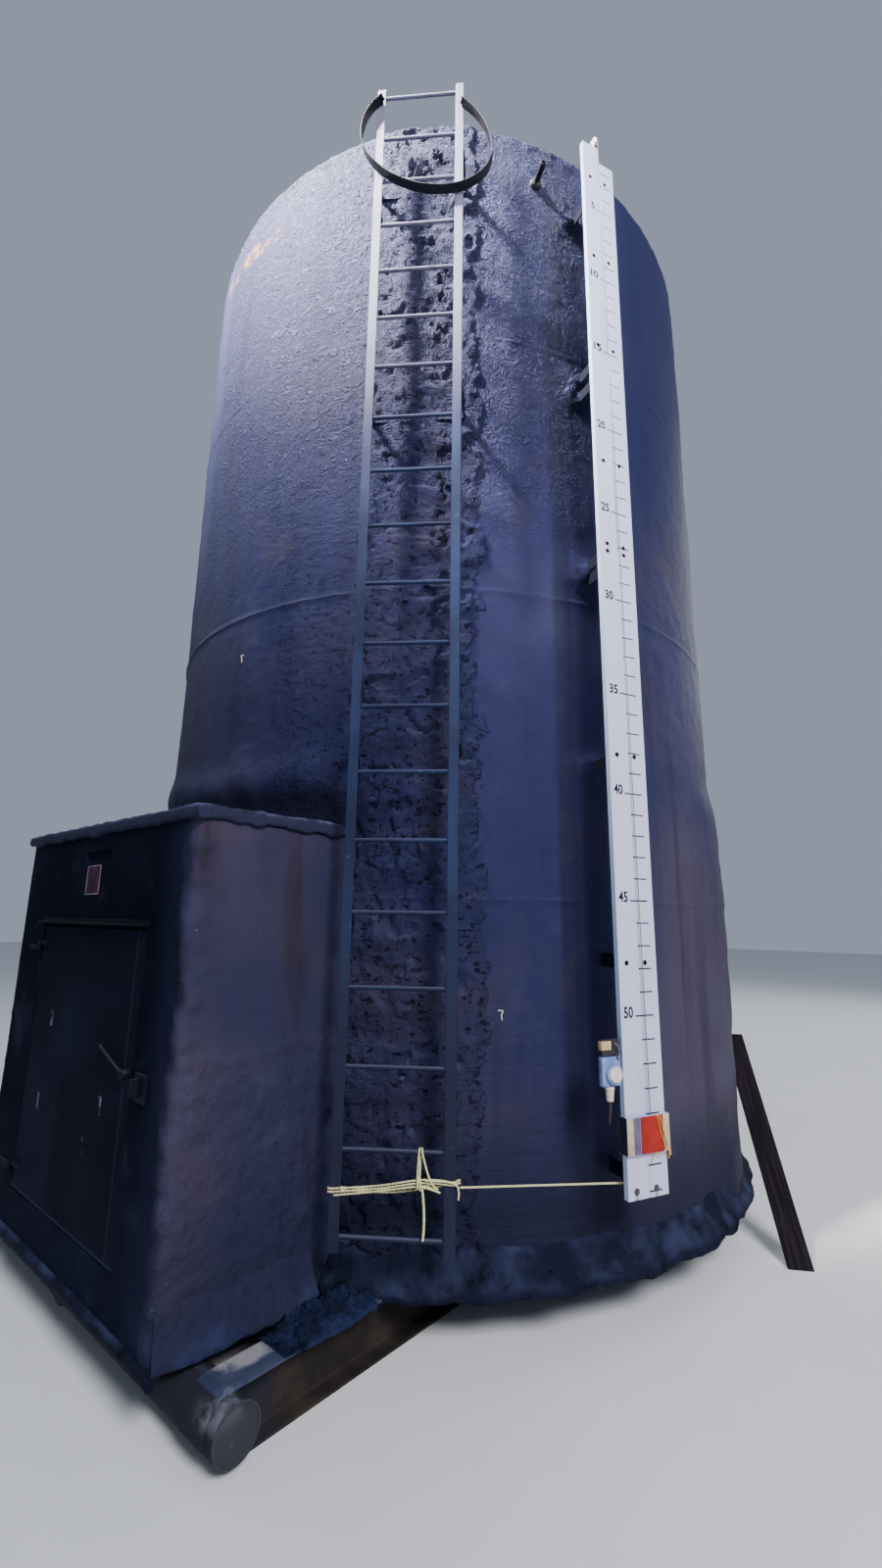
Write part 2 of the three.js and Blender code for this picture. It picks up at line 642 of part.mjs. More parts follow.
// Level sensor box beside the board, far enough off for the carriage's edge to pass, on an arm that reaches
// behind the board, with its round cap, its gland and a short cut cable
function sensorBox() {
  const body = box([SENSOR.back, SENSOR.front], [SENSOR.left, SENSOR.right], [SENSOR.low, SENSOR.high]);
  const armHeight = [SENSOR_ARM.low, SENSOR_ARM.high];
  const arm = box([SENSOR_ARM.back, SENSOR_ARM.front], [SENSOR_ARM.outer, SENSOR_ARM.inner], armHeight);
  const innerAcross = [SENSOR_ARM.inner - SENSOR_ARM.foot, SENSOR_ARM.inner];
  const innerFoot = box([SENSOR_ARM.front - 1, BOARD.back - GAP], innerAcross, armHeight);
  const outerAcross = [SENSOR_ARM.outer, SENSOR_ARM.outer + SENSOR_ARM.foot];
  const outerFoot = box([SENSOR_ARM.front - 1, SENSOR.back + 1], outerAcross, armHeight);
  return joined(body, arm, innerFoot, outerFoot);
}
add("sensor_box", sensorBox(), blackRubber(), gauge);
const capMiddle = [SENSOR_CAP.across, SENSOR_CAP.z];
add(
  "sensor_cap",
  rod(
    new THREE.Vector3(SENSOR.front + GAP, ...capMiddle),
    new THREE.Vector3(SENSOR.front + SENSOR_CAP.thick, ...capMiddle),
    SENSOR_CAP.radius,
    20,
  ),
  paleCap(),
  gauge,
);
const glandHead = new THREE.Vector3(GLAND.out, GLAND.across, SENSOR.low - GAP);
const glandFoot = glandHead.clone().setZ(SENSOR.low - GLAND.length);
add("cable_gland", rod(glandFoot, glandHead, GLAND.radius, 12), blackRubber(), gauge);

const cableRoute = [0, 0.25, 0.5, 0.75, 1].map(
  (share) =>
    new THREE.Vector3(
      GLAND.out,
      GLAND.across + SENSOR_CABLE.drift * share * share,
      glandFoot.z - GAP - SENSOR_CABLE.drop * share,
    ),
);
add("sensor_cable", tube(cableRoute, SENSOR_CABLE.radius, 8, 8), blackRubber(), gauge);

// Ladder: X points out from the tank here, and Y across the ladder
const ladder = new THREE.Group();
ladder.rotation.z = LADDER_ANGLE;
root.add(ladder);

function rail(side, low, high) {
  const back = RUNG_OUT - 30;
  const outline = [
    [RAIL_FRONT, side * RAIL.inner],
    [RAIL_FRONT, side * RAIL.outer],
    [back, side * RAIL.outer],
    [back, side * (RAIL.outer - RAIL.thick)],
    [RAIL_FRONT - RAIL.thick, side * (RAIL.outer - RAIL.thick)],
    [RAIL_FRONT - RAIL.thick, side * RAIL.inner],
  ];
  return prism(outline, low, high);
}

function ladderSection(low, high) {
  const pieces = [rail(-1, low, high), rail(1, low, high)];
  for (let i = 0; i < RUNG_COUNT; i++) {
    const z = LOWEST_RUNG + i * RUNG_PITCH;
    if (z < low || z > high) continue;
    const end = RAIL.outer - 1;
    pieces.push(
      rod(new THREE.Vector3(RUNG_OUT, -end, z), new THREE.Vector3(RUNG_OUT, end, z), RUNG_RADIUS, 10),
    );
  }
  return joined(...pieces);
}
add("ladder_lower", ladderSection(RAIL.low, LADDER_SPLICE - GAP), ladderSteel(), ladder);
add("ladder_upper", ladderSection(LADDER_SPLICE, RAIL.high), ladderSteel(), ladder);

function ladderBracket(z) {
  const low = z - LADDER_BRACKET.height / 2;
  const high = z + LADDER_BRACKET.height / 2;
  const side = RAIL.outer + GAP;
  const plate = box(
    [SHELL_OUTER - 60, SHELL_OUTER + LADDER_BRACKET.plate],
    [-side - LADDER_BRACKET.plate, side + LADDER_BRACKET.plate],
    [low, high],
  );
  const arms = [-side - LADDER_BRACKET.plate, side].map((y) =>
    box([SHELL_OUTER - 60, RAIL_FRONT - 8], [y, y + LADDER_BRACKET.plate], [low, high]),
  );
  return cut(joined(plate, ...arms).rotateZ(LADDER_ANGLE), shellSpace);
}
LADDER_BRACKET_HEIGHTS.forEach((z, i) => add(`ladder_bracket_${i + 1}`, ladderBracket(z), ladderSteel()));

// A place on the middle line of the hoop's band, moved out by a share of its thickness.
function hoopPoint(angle, offset) {
  const tall = (turn) => (Math.sin(turn) > 0 ? HOOP.upper : HOOP.lower);
  const at = (turn) =>
    new THREE.Vector2(
      HOOP.across + HOOP.halfWidth * Math.cos(turn),
      HOOP.up + HOOP.skew * Math.cos(turn) + tall(turn) * Math.sin(turn),
    );
  const step = 0.01;
  const along = at(angle + step).sub(at(angle - step)).normalize();
  return at(angle).add(new THREE.Vector2(along.y, -along.x).multiplyScalar(offset));
}

function hoop() {
  const turns = Array.from(
    { length: HOOP_STEPS + 1 },
    (_, i) => HOOP_ENDS.right + ((HOOP_ENDS.left - HOOP_ENDS.right) * i) / HOOP_STEPS,
  );
  const half = HOOP_BAND.thick / 2;
  const outer = turns.map((turn) => hoopPoint(turn, half));
  const inner = turns.map((turn) => hoopPoint(turn, -half)).reverse();
  const shape = new THREE.Shape([...outer, ...inner]);
  return new THREE.ExtrudeGeometry(shape, { depth: HOOP_BAND.width, bevelEnabled: false })
    .rotateX(Math.PI / 2)
    .rotateZ(Math.PI / 2)
    .translate(RAIL_FRONT + GAP, 0, 0);
}
add("ladder_hoop", hoop(), hoopSteel(), ladder);

// Clean-out box: X points out from the tank here
const cleanoutSide = [-CLEANOUT.half, CLEANOUT.half];
const cleanoutHeight = [CLEANOUT.low, CLEANOUT.high];
const neckFace = CLEANOUT.face - CLEANOUT.plate - GAP;
add(
  "cleanout_neck",
  cut(
    box([SHELL_OUTER - 120, neckFace], [-CLEANOUT.half + 30, CLEANOUT.half - 30], [
      CLEANOUT.low + 30,
      CLEANOUT.high - 30,
    ]).rotateZ(CLEANOUT_ANGLE),
    shellSpace,
  ),
  coating(),
);
add(
  "cleanout_cover",
  box([neckFace + GAP, CLEANOUT.face], cleanoutSide, cleanoutHeight).rotateZ(CLEANOUT_ANGLE),
  coating(),
);

// Board that leans from the ground on the clean-out cover's corner
function plank() {
  const foot = new THREE.Vector3(...PLANK.foot, 0);
  const top = new THREE.Vector3(...PLANK.top, PLANK.height);
  const way = new THREE.Vector3().subVectors(top, foot);
  const wide = new THREE.Vector3(-way.y, way.x, 0).normalize().negate();
  const thick = new THREE.Vector3().crossVectors(way, wide).normalize();
  const frame = new THREE.Matrix4().makeBasis(wide, thick, way.clone().normalize());
  const slab = box([-PLANK.wide / 2, PLANK.wide / 2], [0, PLANK.thick], [-30, way.length()])
    .applyMatrix4(frame)
    .translate(foot.x, foot.y, foot.z);
  const ground = box([1500, 2600], [-400, 1400], [-200, 0]);
  const coverSpace = box(
    [SHELL_OUTER - 100, CLEANOUT.face + GAP],
    [-CLEANOUT.half - GAP, CLEANOUT.half + GAP],
    cleanoutHeight,
  ).rotateZ(CLEANOUT_ANGLE);
  return cut(slab, ground, coverSpace);
}
add("leaning_board", plank(), oldTimber());

// Rope: a loop round the lowest bracket's stem, a taut line, wraps round both rails and a hanging tail
function ring(inner, outer, low, high) {
  const corners = ([x0, x1, y0, y1]) => [
    [x0, y0],
    [x1, y0],
    [x1, y1],
    [x0, y1],
  ];
  const shape = new THREE.Shape(corners(outer).map(([x, y]) => new THREE.Vector2(x, y)));
  shape.holes.push(new THREE.Path(corners(inner).map(([x, y]) => new THREE.Vector2(x, y)).reverse()));
  return new THREE.ExtrudeGeometry(shape, { depth: high - low, bevelEnabled: false }).translate(0, 0, low);
}
const slack = 0.5;
const grow = ([x0, x1, y0, y1], by) => [x0 - by, x1 + by, y0 - by, y1 + by];

// The loop lies across the stem, so its section is drawn across and up, and its thickness runs outwards.
const stemAcross = (BOARD.left + BOARD.right) / 2;
const stemHalf = GAUGE_BRACKET.height / 2 + slack;
const stemInside = [
  stemAcross - slack,
  stemAcross + GAUGE_BRACKET.plate + slack,
  GAUGE_BRACKET_HEIGHTS.lower[0] - stemHalf,
  GAUGE_BRACKET_HEIGHTS.lower[0] + stemHalf,
];
add(
  "rope_loop",
  ring(stemInside, grow(stemInside, 2 * ROPE_RADIUS), ROPE_RING_OUT - ROPE_RADIUS, ROPE_RING_OUT + ROPE_RADIUS)
    .rotateX(Math.PI / 2)
    .rotateZ(Math.PI / 2),
  ropeFibre(),
  gauge,
);
const wrapInside = [WRAP.back, RAIL_FRONT + slack, -RAIL.outer - slack, RAIL.outer + slack];
add("rope_wraps", ring(wrapInside, grow(wrapInside, WRAP.thick), WRAP.low, WRAP.high), ropeFibre(), ladder);

const lineStart = around(
  GAUGE_ANGLE,
  ROPE_RING_OUT,
  stemInside[0] - 2 * ROPE_RADIUS - GAP - 1.6,
  ROPE_HEIGHT.bracket,
);
const lineEnd = around(
  LADDER_ANGLE,
  RAIL_FRONT - 12,
  RAIL.outer + slack + WRAP.thick + GAP + 3,
  ROPE_HEIGHT.ladder,
);
add("rope_line", rod(lineStart, lineEnd, ROPE_RADIUS, 8), ropeFibre());

const tailTop = new THREE.Vector3(
  RAIL_FRONT + slack + WRAP.thick - ROPE_RADIUS - 1,
  TAIL.across,
  WRAP.low - 0.9,
);
const tailRoute = [0, 0.2, 0.4, 0.6, 0.8, 1].map(
  (share) =>
    new THREE.Vector3(
      tailTop.x,
      tailTop.y + TAIL.sway * Math.sin(share * Math.PI * 0.8),
      tailTop.z - TAIL.drop * share,
    ),
);
add("rope_tail", tube(tailRoute, ROPE_RADIUS, 8, 12), ropeFibre(), ladder);

export default root;
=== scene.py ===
# %% [markdown]
# # A foam-insulated storage tank
# This lesson dresses an upright storage tank: a steel shell under sprayed foam, a valve house, a ladder with
# a hoop and a float gauge board. The construction comes as a fixed frame of plain solids at their real size.
# Here each solid either gets a finish of its own, or a finer piece takes its place. Lengths are metres, Z is
# up, and the tank's axis stands on the origin.

# %% Load the frame
import json
import math

import bmesh
import bpy
from mathutils import Matrix, Vector, noise


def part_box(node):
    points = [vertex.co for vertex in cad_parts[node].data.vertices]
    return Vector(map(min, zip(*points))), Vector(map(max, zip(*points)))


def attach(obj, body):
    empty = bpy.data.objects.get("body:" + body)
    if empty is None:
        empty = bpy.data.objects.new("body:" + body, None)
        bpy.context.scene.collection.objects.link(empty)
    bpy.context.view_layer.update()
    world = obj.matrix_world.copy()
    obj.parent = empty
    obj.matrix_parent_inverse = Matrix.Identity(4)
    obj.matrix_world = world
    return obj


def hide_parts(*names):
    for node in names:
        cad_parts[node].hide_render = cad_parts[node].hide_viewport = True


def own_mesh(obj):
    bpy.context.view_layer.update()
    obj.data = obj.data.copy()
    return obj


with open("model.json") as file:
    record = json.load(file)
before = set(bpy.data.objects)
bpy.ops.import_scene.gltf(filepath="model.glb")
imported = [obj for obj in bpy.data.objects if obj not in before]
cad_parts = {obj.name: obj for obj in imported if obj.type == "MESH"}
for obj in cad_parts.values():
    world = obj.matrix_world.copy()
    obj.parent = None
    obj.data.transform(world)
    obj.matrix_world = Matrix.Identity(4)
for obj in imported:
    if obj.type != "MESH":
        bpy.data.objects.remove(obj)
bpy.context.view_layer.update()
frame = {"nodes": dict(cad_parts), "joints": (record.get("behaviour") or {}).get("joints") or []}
NODES = frame["nodes"]

# %% [markdown]
# ## Camera
# The picture is upright and was taken from head height with a wide lens, close to the tank, looking up a
# little. A camera can be aimed with angles, but three unit vectors (right, up and back) say it more plainly:
# they are the columns of its matrix. The small roll is the hand that held it.

# %% Camera
CAMERA_PLACE = Vector((3.126, -3.598, 1.65))
CAMERA_AZIMUTH = math.radians(41.0)
CAMERA_RISE = math.radians(12.0)
CAMERA_ROLL = 0.0134
CAMERA_LENS = 14.51


def aim_camera():
    """A camera whose matrix is made from its right, up and back directions."""
    level = Vector((math.cos(CAMERA_AZIMUTH), math.sin(CAMERA_AZIMUTH), 0))
    ahead = Vector((-math.sin(CAMERA_AZIMUTH), math.cos(CAMERA_AZIMUTH), 0)) * math.cos(CAMERA_RISE)
    ahead.z = math.sin(CAMERA_RISE)
    upright = level.cross(ahead)
    right = level * math.cos(CAMERA_ROLL) + upright * math.sin(CAMERA_ROLL)
    up = right.cross(ahead)
    data = bpy.data.cameras.new("camera")
    data.sensor_width = 36.0
    data.lens = CAMERA_LENS
    data.clip_end = 200.0
    camera = bpy.data.objects.new("camera", data)
    columns = Matrix((right, up, -ahead)).transposed().to_4x4()
    camera.matrix_world = Matrix.Translation(CAMERA_PLACE) @ columns
    bpy.context.scene.collection.objects.link(camera)
    bpy.context.scene.camera = camera
    return camera


aim_camera()
print("camera stands", round(CAMERA_PLACE.xy.length, 2), "m from the tank's axis")

# %% [markdown]
# ## Places round the tank
# The gauge board, the ladder and the clean-out box each face straight out from the tank's axis. Each gets a
# turned frame where X points out, Y runs across and Z is up, so that its pieces are written as if it stood
# square.

# %% Turned frames
SHELL = 1.88
SHELL_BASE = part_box("shell_course_bottom")[0].z
SHELL_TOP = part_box("shell_course_top")[1].z
GAUGE_ANGLE = -24.4
LADDER_ANGLE = -53.7
CLEANOUT_ANGLE = 40.6
PART = Matrix.Identity(4)


def turned_to(degrees):
    """The frame whose X axis points out from the tank at that angle."""
    return Matrix.Rotation(math.radians(degrees), 4, "Z")


GAUGE = turned_to(GAUGE_ANGLE)
LADDER = turned_to(LADDER_ANGLE)
CLEANOUT = turned_to(CLEANOUT_ANGLE)
print("shell from", round(SHELL_BASE, 3), "to", round(SHELL_TOP, 3), "m")

# %% [markdown]
# ## A wrapper for shader sockets
# A finish is a sum of small pieces of arithmetic: noise times height, a mask minus another mask. Wiring that
# by hand hides the idea. This class wraps one output socket and turns Python's operators into Math nodes,
# and the finish class below it adds any other node through a single method.


# %% Shader arithmetic
def operator(operation, swapped=False):
    """A method for Value that adds one Math node. swapped is for a plain number on the left."""
    return lambda value, other: value.math(operation, other, swapped)


class Value:
    """An output socket that can be used in Python expressions. Each operator adds one Math node."""

    def __init__(self, finish, socket):
        self.finish = finish
        self.socket = socket

    def math(self, operation, other=0.0, swapped=False):
        terms = (other, self) if swapped else (self, other)
        return self.finish.add("ShaderNodeMath", {"operation": operation}, {0: terms[0], 1: terms[1]})

    def __abs__(self):
        return self.math("ABSOLUTE")

    __add__ = operator("ADD")
    __radd__ = operator("ADD", swapped=True)
    __sub__ = operator("SUBTRACT")
    __rsub__ = operator("SUBTRACT", swapped=True)
    __mul__ = operator("MULTIPLY")
    __rmul__ = operator("MULTIPLY", swapped=True)


class Finish:
    """A procedural material, built on the places of the part itself."""

    def __init__(self, name, metallic=0.0, specular=0.5):
        self.material = bpy.data.materials.new(name)
        self.material.use_nodes = True
        self.tree = self.material.node_tree
        self.shader = self.tree.nodes["Principled BSDF"]
        self.shader.inputs["Metallic"].default_value = metallic
        self.shader.inputs["Specular IOR Level"].default_value = specular
        self.colour = None
        self.place = self.add("ShaderNodeTexCoord", output="Object")
        along = [self.add("ShaderNodeSeparateXYZ", {}, {0: self.place}, axis) for axis in "XYZ"]
        self.x, self.y, self.z = along

    def add(self, kind, settings=None, inputs=None, output=0):
        """Adds a node: its settings first, then the values or links of its sockets."""
        node = self.tree.nodes.new(kind)
        for key, value in (settings or {}).items():
            setattr(node, key, value)
        for key, value in (inputs or {}).items():
            self.feed(node.inputs[key], value)
        return Value(self, node.outputs[output])

    def feed(self, socket, value):
        if isinstance(value, Value):
            self.tree.links.new(value.socket, socket)
        elif hasattr(value, "__len__") and len(value) == 3 and len(socket.default_value) == 4:
            socket.default_value = (*value, 1.0)
        else:
            socket.default_value = value

    def stretched(self, scale):
        """The part's places, stretched: a small number makes long marks along that axis."""
        return self.add("ShaderNodeMapping", {}, {"Vector": self.place, "Scale": scale})

    def noise(self, scale, detail=4.0, rough=0.5, stretch=None, distortion=0.0):
        place = self.stretched(stretch) if stretch else self.place
        sockets = {"Vector": place, "Scale": scale, "Detail": detail}
        sockets.update({"Roughness": rough, "Distortion": distortion})
        return self.add("ShaderNodeTexNoise", {}, sockets)

    def cells(self, scale):
        """The distance to the nearest of many scattered points, which makes round specks."""
        return self.add("ShaderNodeTexVoronoi", {"feature": "F1"}, {"Vector": self.place, "Scale": scale})

    def rise(self, value, low, high):
        """0 below low, 1 above high, smooth between. With low above high it falls instead."""
        sockets = {"Value": value, "From Min": low, "From Max": high}
        return self.add("ShaderNodeMapRange", {"interpolation_type": "SMOOTHSTEP"}, sockets)

    def window(self, value, low, high, soft):
        """1 between low and high, with soft edges outside them."""
        return self.rise(value, low - soft, low) * self.rise(value, high + soft, high)

    def mix(self, factor, a, b):
        return self.add("ShaderNodeMix", {"data_type": "RGBA"}, {0: factor, 6: a, 7: b}, 2)

    def angle(self):
        """The angle round the tank's axis in degrees, 0 along +X."""
        turn = self.add("ShaderNodeMath", {"operation": "ARCTAN2"}, {0: self.y, 1: self.x})
        return turn * math.degrees(1.0)

    def across(self, turned):
        """Place across a turned frame, whose X axis points out from the tank."""
        cosine, sine = turned[0][0], turned[1][0]
        return self.y * cosine - self.x * sine

    def outwards(self, turned):
        cosine, sine = turned[0][0], turned[1][0]
        return self.x * cosine + self.y * sine

    def facing_up(self):
        """1 where a face looks up, 0 where it stands upright: dust and sky light gather there."""
        normal = self.add("ShaderNodeNewGeometry", output="Normal")
        return self.rise(self.add("ShaderNodeSeparateXYZ", {}, {0: normal}, "Z"), 0.1, 0.85)

    def coat(self, factor, colour):
        """Lays a colour over the colour so far, as much as the factor says."""
        self.colour = self.mix(factor, self.colour, colour)

    def paint(self, roughness, height=None, distance=0.0):
        """Feeds the shader with the colour so far. A height of 1 makes a bump of that distance in metres."""
        self.feed(self.shader.inputs["Base Color"], self.colour)
        self.feed(self.shader.inputs["Roughness"], roughness)
        if height is not None:
            sockets = {"Height": height, "Distance": distance, "Strength": 1.0}
            self.feed(self.shader.inputs["Normal"], self.add("ShaderNodeBump", {}, sockets))
        return self.material


def srgb(red, green, blue):
    """A colour as seen on a screen, from 0 to 255, in the linear values that a shader wants."""
    shares = [channel / 255 for channel in (red, green, blue)]
    return tuple(((s + 0.055) / 1.055) ** 2.4 if s > 0.0404 else s / 12.92 for s in shares)


print("shader helpers are ready")

# %% [markdown]
# ## Helpers for meshes
# Most pieces are lofts: a row of rings with the same number of points, skinned and closed. Tubes, turned
# shapes and bolts are lofts too, and blocks have small rounded edges. One class gathers them, so that a
# ladder section with its rungs and welds becomes a single mesh, and hands the mesh over with its finish, its
# body and the solids that it stands for.


class Piece:
    """Gathers the faces of one piece, written in the part's frame or in a turned one."""

    def __init__(self, turned=PART):
        self.bm = bmesh.new()
        self.turned = turned

    def loft(self, rings, closed=False):
        """Skins rings of points. closed joins the last ring to the first, otherwise both ends get a cap."""
        rows = [[self.bm.verts.new(point) for point in ring] for ring in rings]
        pairs = list(zip(rows, rows[1:])) + ([(rows[-1], rows[0])] if closed else [])
        for a, b in pairs:
            for i, _ in enumerate(a):
                j = (i + 1) % len(a)
                self.bm.faces.new((a[i], a[j], b[j], b[i]))
        if not closed:
            self.bm.faces.new(rows[0][::-1])
            self.bm.faces.new(rows[-1])
        return self

    def block(self, x, y, z, bevel=0.0015, segments=2):
        """A block between three pairs of limits, with its edges rounded."""
        size = [high - low for low, high in (x, y, z)]
        middle = [(high + low) / 2 for low, high in (x, y, z)]
        place = Matrix.Translation(middle) @ Matrix.Diagonal((*size, 1.0))
        made = bmesh.ops.create_cube(self.bm, size=1.0, matrix=place)
        edges = list({edge for vertex in made["verts"] for edge in vertex.link_edges})
        if bevel:
            options = {"offset": bevel, "segments": segments, "affect": "EDGES", "profile": 0.5}
            bmesh.ops.bevel(self.bm, geom=edges, **options)
        return self

    def lathe(self, foot, axis, profile, sides=24):
        """A solid of revolution: profile is a list of (radius, distance along the axis from its foot)."""
        turn = Vector(axis).normalized().to_track_quat("Z", "Y")
        rings = [
            [
                Vector(foot) + turn @ Vector((radius * math.cos(a), radius * math.sin(a), along))
                for a in (2 * math.pi * i / sides for i in range(sides))
            ]
            for radius, along in profile
        ]
        return self.loft(rings)

    def bolt(self, foot, axis, radius, height):
        """A hexagon head with a chamfered top."""
        profile = [(radius, 0), (radius, height * 0.75), (radius * 0.82, height)]
        return self.lathe(foot, axis, profile, 6)

    def tube(self, points, radius, sides=12, lobes=0, pitch=0.0, depth=0.18):
        """A tube along points. With lobes its section is a laid rope that makes one turn in each pitch."""
        points = [Vector(p) for p in points]
        side = (points[1] - points[0]).orthogonal().normalized()
        rings = []
        run = 0.0
        for i, point in enumerate(points):
            ahead = points[min(i + 1, len(points) - 1)] - points[max(i - 1, 0)]
            ahead.normalize()
            side = (side - ahead * side.dot(ahead)).normalized()
            other = ahead.cross(side)
            run += (point - points[i - 1]).length if i else 0.0
            twist = 2 * math.pi * run / pitch if pitch else 0.0
            ring = []
            for k in range(sides):
                turn = 2 * math.pi * k / sides
                reach = radius * (1 - depth * (0.5 - 0.5 * math.cos(lobes * turn))) if lobes else radius
                ring.append(point + (side * math.cos(turn + twist) + other * math.sin(turn + twist)) * reach)
            rings.append(ring)
        return self.loft(rings)

    def done(self, name, finish, body="tank", replaces=(), slot=None, sharp=32.0):
        """The finished object: smooth, with creases where faces meet at more than the sharp angle."""
        bmesh.ops.recalc_face_normals(self.bm, faces=self.bm.faces)
        mesh = bpy.data.meshes.new(name)
        self.bm.to_mesh(mesh)
        self.bm.free()
        mesh.transform(self.turned)
        mesh.polygons.foreach_set("use_smooth", [True] * len(mesh.polygons))
        mesh.set_sharp_from_angle(angle=math.radians(sharp))
        mesh.materials.append(finish)
        thing = bpy.data.objects.new(name, mesh)
        bpy.context.scene.collection.objects.link(thing)
        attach(thing, body)
        if replaces:
            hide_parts(*replaces)
        return thing


def smooth(value, low, high):
    """0 below low, 1 above high, smooth between. With low above high it falls instead."""
    share = min(1.0, max(0.0, (value - low) / (high - low)))
    return share * share * (3 - 2 * share)


def window(value, low, high, soft):
    return smooth(value, low - soft, low) * smooth(value, high + soft, high)


def lumps(point, size, octaves=3):
    """Soft noise between about -1 and 1, with lumps of that size in metres."""
    return noise.fractal(Vector(point) / size, 1.0, 2.0, octaves)


def spaced(breaks, step):
    """Numbers from the first break to the last that hit each break and lie about a step apart."""
    numbers = [breaks[0]]
    for low, high in zip(breaks, breaks[1:]):
        count = max(1, round((high - low) / step))
        numbers += [low + (high - low) * (i + 1) / count for i in range(count)]
    return numbers


print("mesh helpers are ready")

# %% [markdown]
# ## Cords first
# Two short ends hang free: the tail of the rope on the ladder, and the cut cable under the level sensor. A
# cord is a real length of something flexible, so its route is a list of places that the plain solids share.
# A laid rope is modelled with three lobes that turn along its length, which catches the light as twisted
# strands do.

# %% Finishes for the cords
def rope_finish():
    finish = Finish("rope_fibre")
    fibre = finish.noise(900, 3, 0.6, stretch=(1, 1, 0.25))
    patch = finish.noise(25, 3)
    finish.colour = finish.mix(patch, srgb(214, 208, 150), srgb(236, 232, 180))
    finish.coat(finish.rise(fibre, 0.62, 0.4) * 0.5, srgb(150, 142, 92))
    return finish.paint(0.8 + 0.1 * fibre, fibre, 0.0006)


def rubber_finish():
    finish = Finish("black_rubber", specular=0.4)
    grain = finish.noise(600, 4, 0.6)
    dust = finish.rise(finish.noise(40, 5, 0.6), 0.5, 0.75)
    finish.colour = finish.mix(dust * 0.5, srgb(30, 31, 36), srgb(78, 78, 84))
    return finish.paint(0.5 + 0.25 * dust, grain, 0.0003)


ROPE = rope_finish()
RUBBER = rubber_finish()
print("cord finishes:", ROPE.name, RUBBER.name)

# %% The rope's tail and the sensor's cable
ROPE_RADIUS = 0.005
TAIL_FOOT = Vector((2.079, 0.118, 0.6371))
TAIL_DROP = 0.176
TAIL_SWAY = 0.009
CABLE_PLACE = (2.140, -0.220)
CABLE_FOOT = Vector((*CABLE_PLACE, 0.9457))
CABLE_DROP = 0.080
CABLE_DRIFT = -0.010
CABLE_RADIUS = 0.0065


def tail_route(count):
    shares = [i / (count - 1) for i in range(count)]
    return [TAIL_FOOT + Vector((0, TAIL_SWAY * math.sin(s * math.pi * 0.8), -TAIL_DROP * s)) for s in shares]


def cable_route(count):
    shares = [i / (count - 1) for i in range(count)]
    return [CABLE_FOOT + Vector((0, CABLE_DRIFT * s * s, -CABLE_DROP * s)) for s in shares]


def length_of(points):
    return sum((b - a).length for a, b in zip(points, points[1:]))


def hang(name, route, radius, turned, finish, stiffness, **laid):
    """A free cord that stands for the node of its name."""
    piece = Piece(turned).tube(route, radius, **laid)
    cord = piece.done(name + "_cord", finish, replaces=[name], sharp=80)
    path = [turned @ point for point in route]
    facts = {"length": length_of(path), "diameter": 2 * radius, "far_end": "bare", "path": path}
    return cord


hang("rope_tail", tail_route(60), ROPE_RADIUS, LADDER, ROPE, "limp", sides=18, lobes=3, pitch=0.05)
hang("sensor_cable", cable_route(24), CABLE_RADIUS, GAUGE, RUBBER, "medium", sides=16)
print("tail", round(length_of(tail_route(60)), 3), "m, cable", round(length_of(cable_route(24)), 3), "m")

# %% [markdown]
# ## The coating's finish
# The foam is sprayed on and then coated, so it is one dark skin with its own weather: it is smooth where the
# gun moved evenly, orange-peel between the ladder and the gauge board, and pitted behind the ladder. The
# colour wanders from navy to plum. Some of it is painted light: the top is paler and the upper right darker,
# and the hollow over the house, the pits and the creases of the peel get painted shade. Masks by angle and
# height round the tank say which is where, and they are kept off the roof, where an angle would show as a
# sector.

# %% Coating finish
NAVY = srgb(37, 39, 71)
PLUM = srgb(65, 59, 76)
# Near-black for dirt streaks, also used as painted shade in hollows, pits and creases.
SOOT_AND_SHADE = srgb(12, 13, 20)
PALE = srgb(76, 77, 102)
SHADED_NAVY = srgb(27, 31, 62)
BROWN = srgb(56, 48, 56)
RUST = srgb(150, 108, 62)
FLECK = srgb(180, 180, 188)
FOOT_SHADE = srgb(24, 26, 44)
# Rust is a stain; the hollow and the orange peel's creases get painted shade; beside_board is a darker band.
COATING_MARKS = {
    "beside_board": (-31.0, -29.2),
    "hollow": (-112.0, -62.0),
    "orange_peel": (-100.0, -27.0),
    "drag": (-50.0, -30.0),
    "rust": (-106.0, -85.0),
}


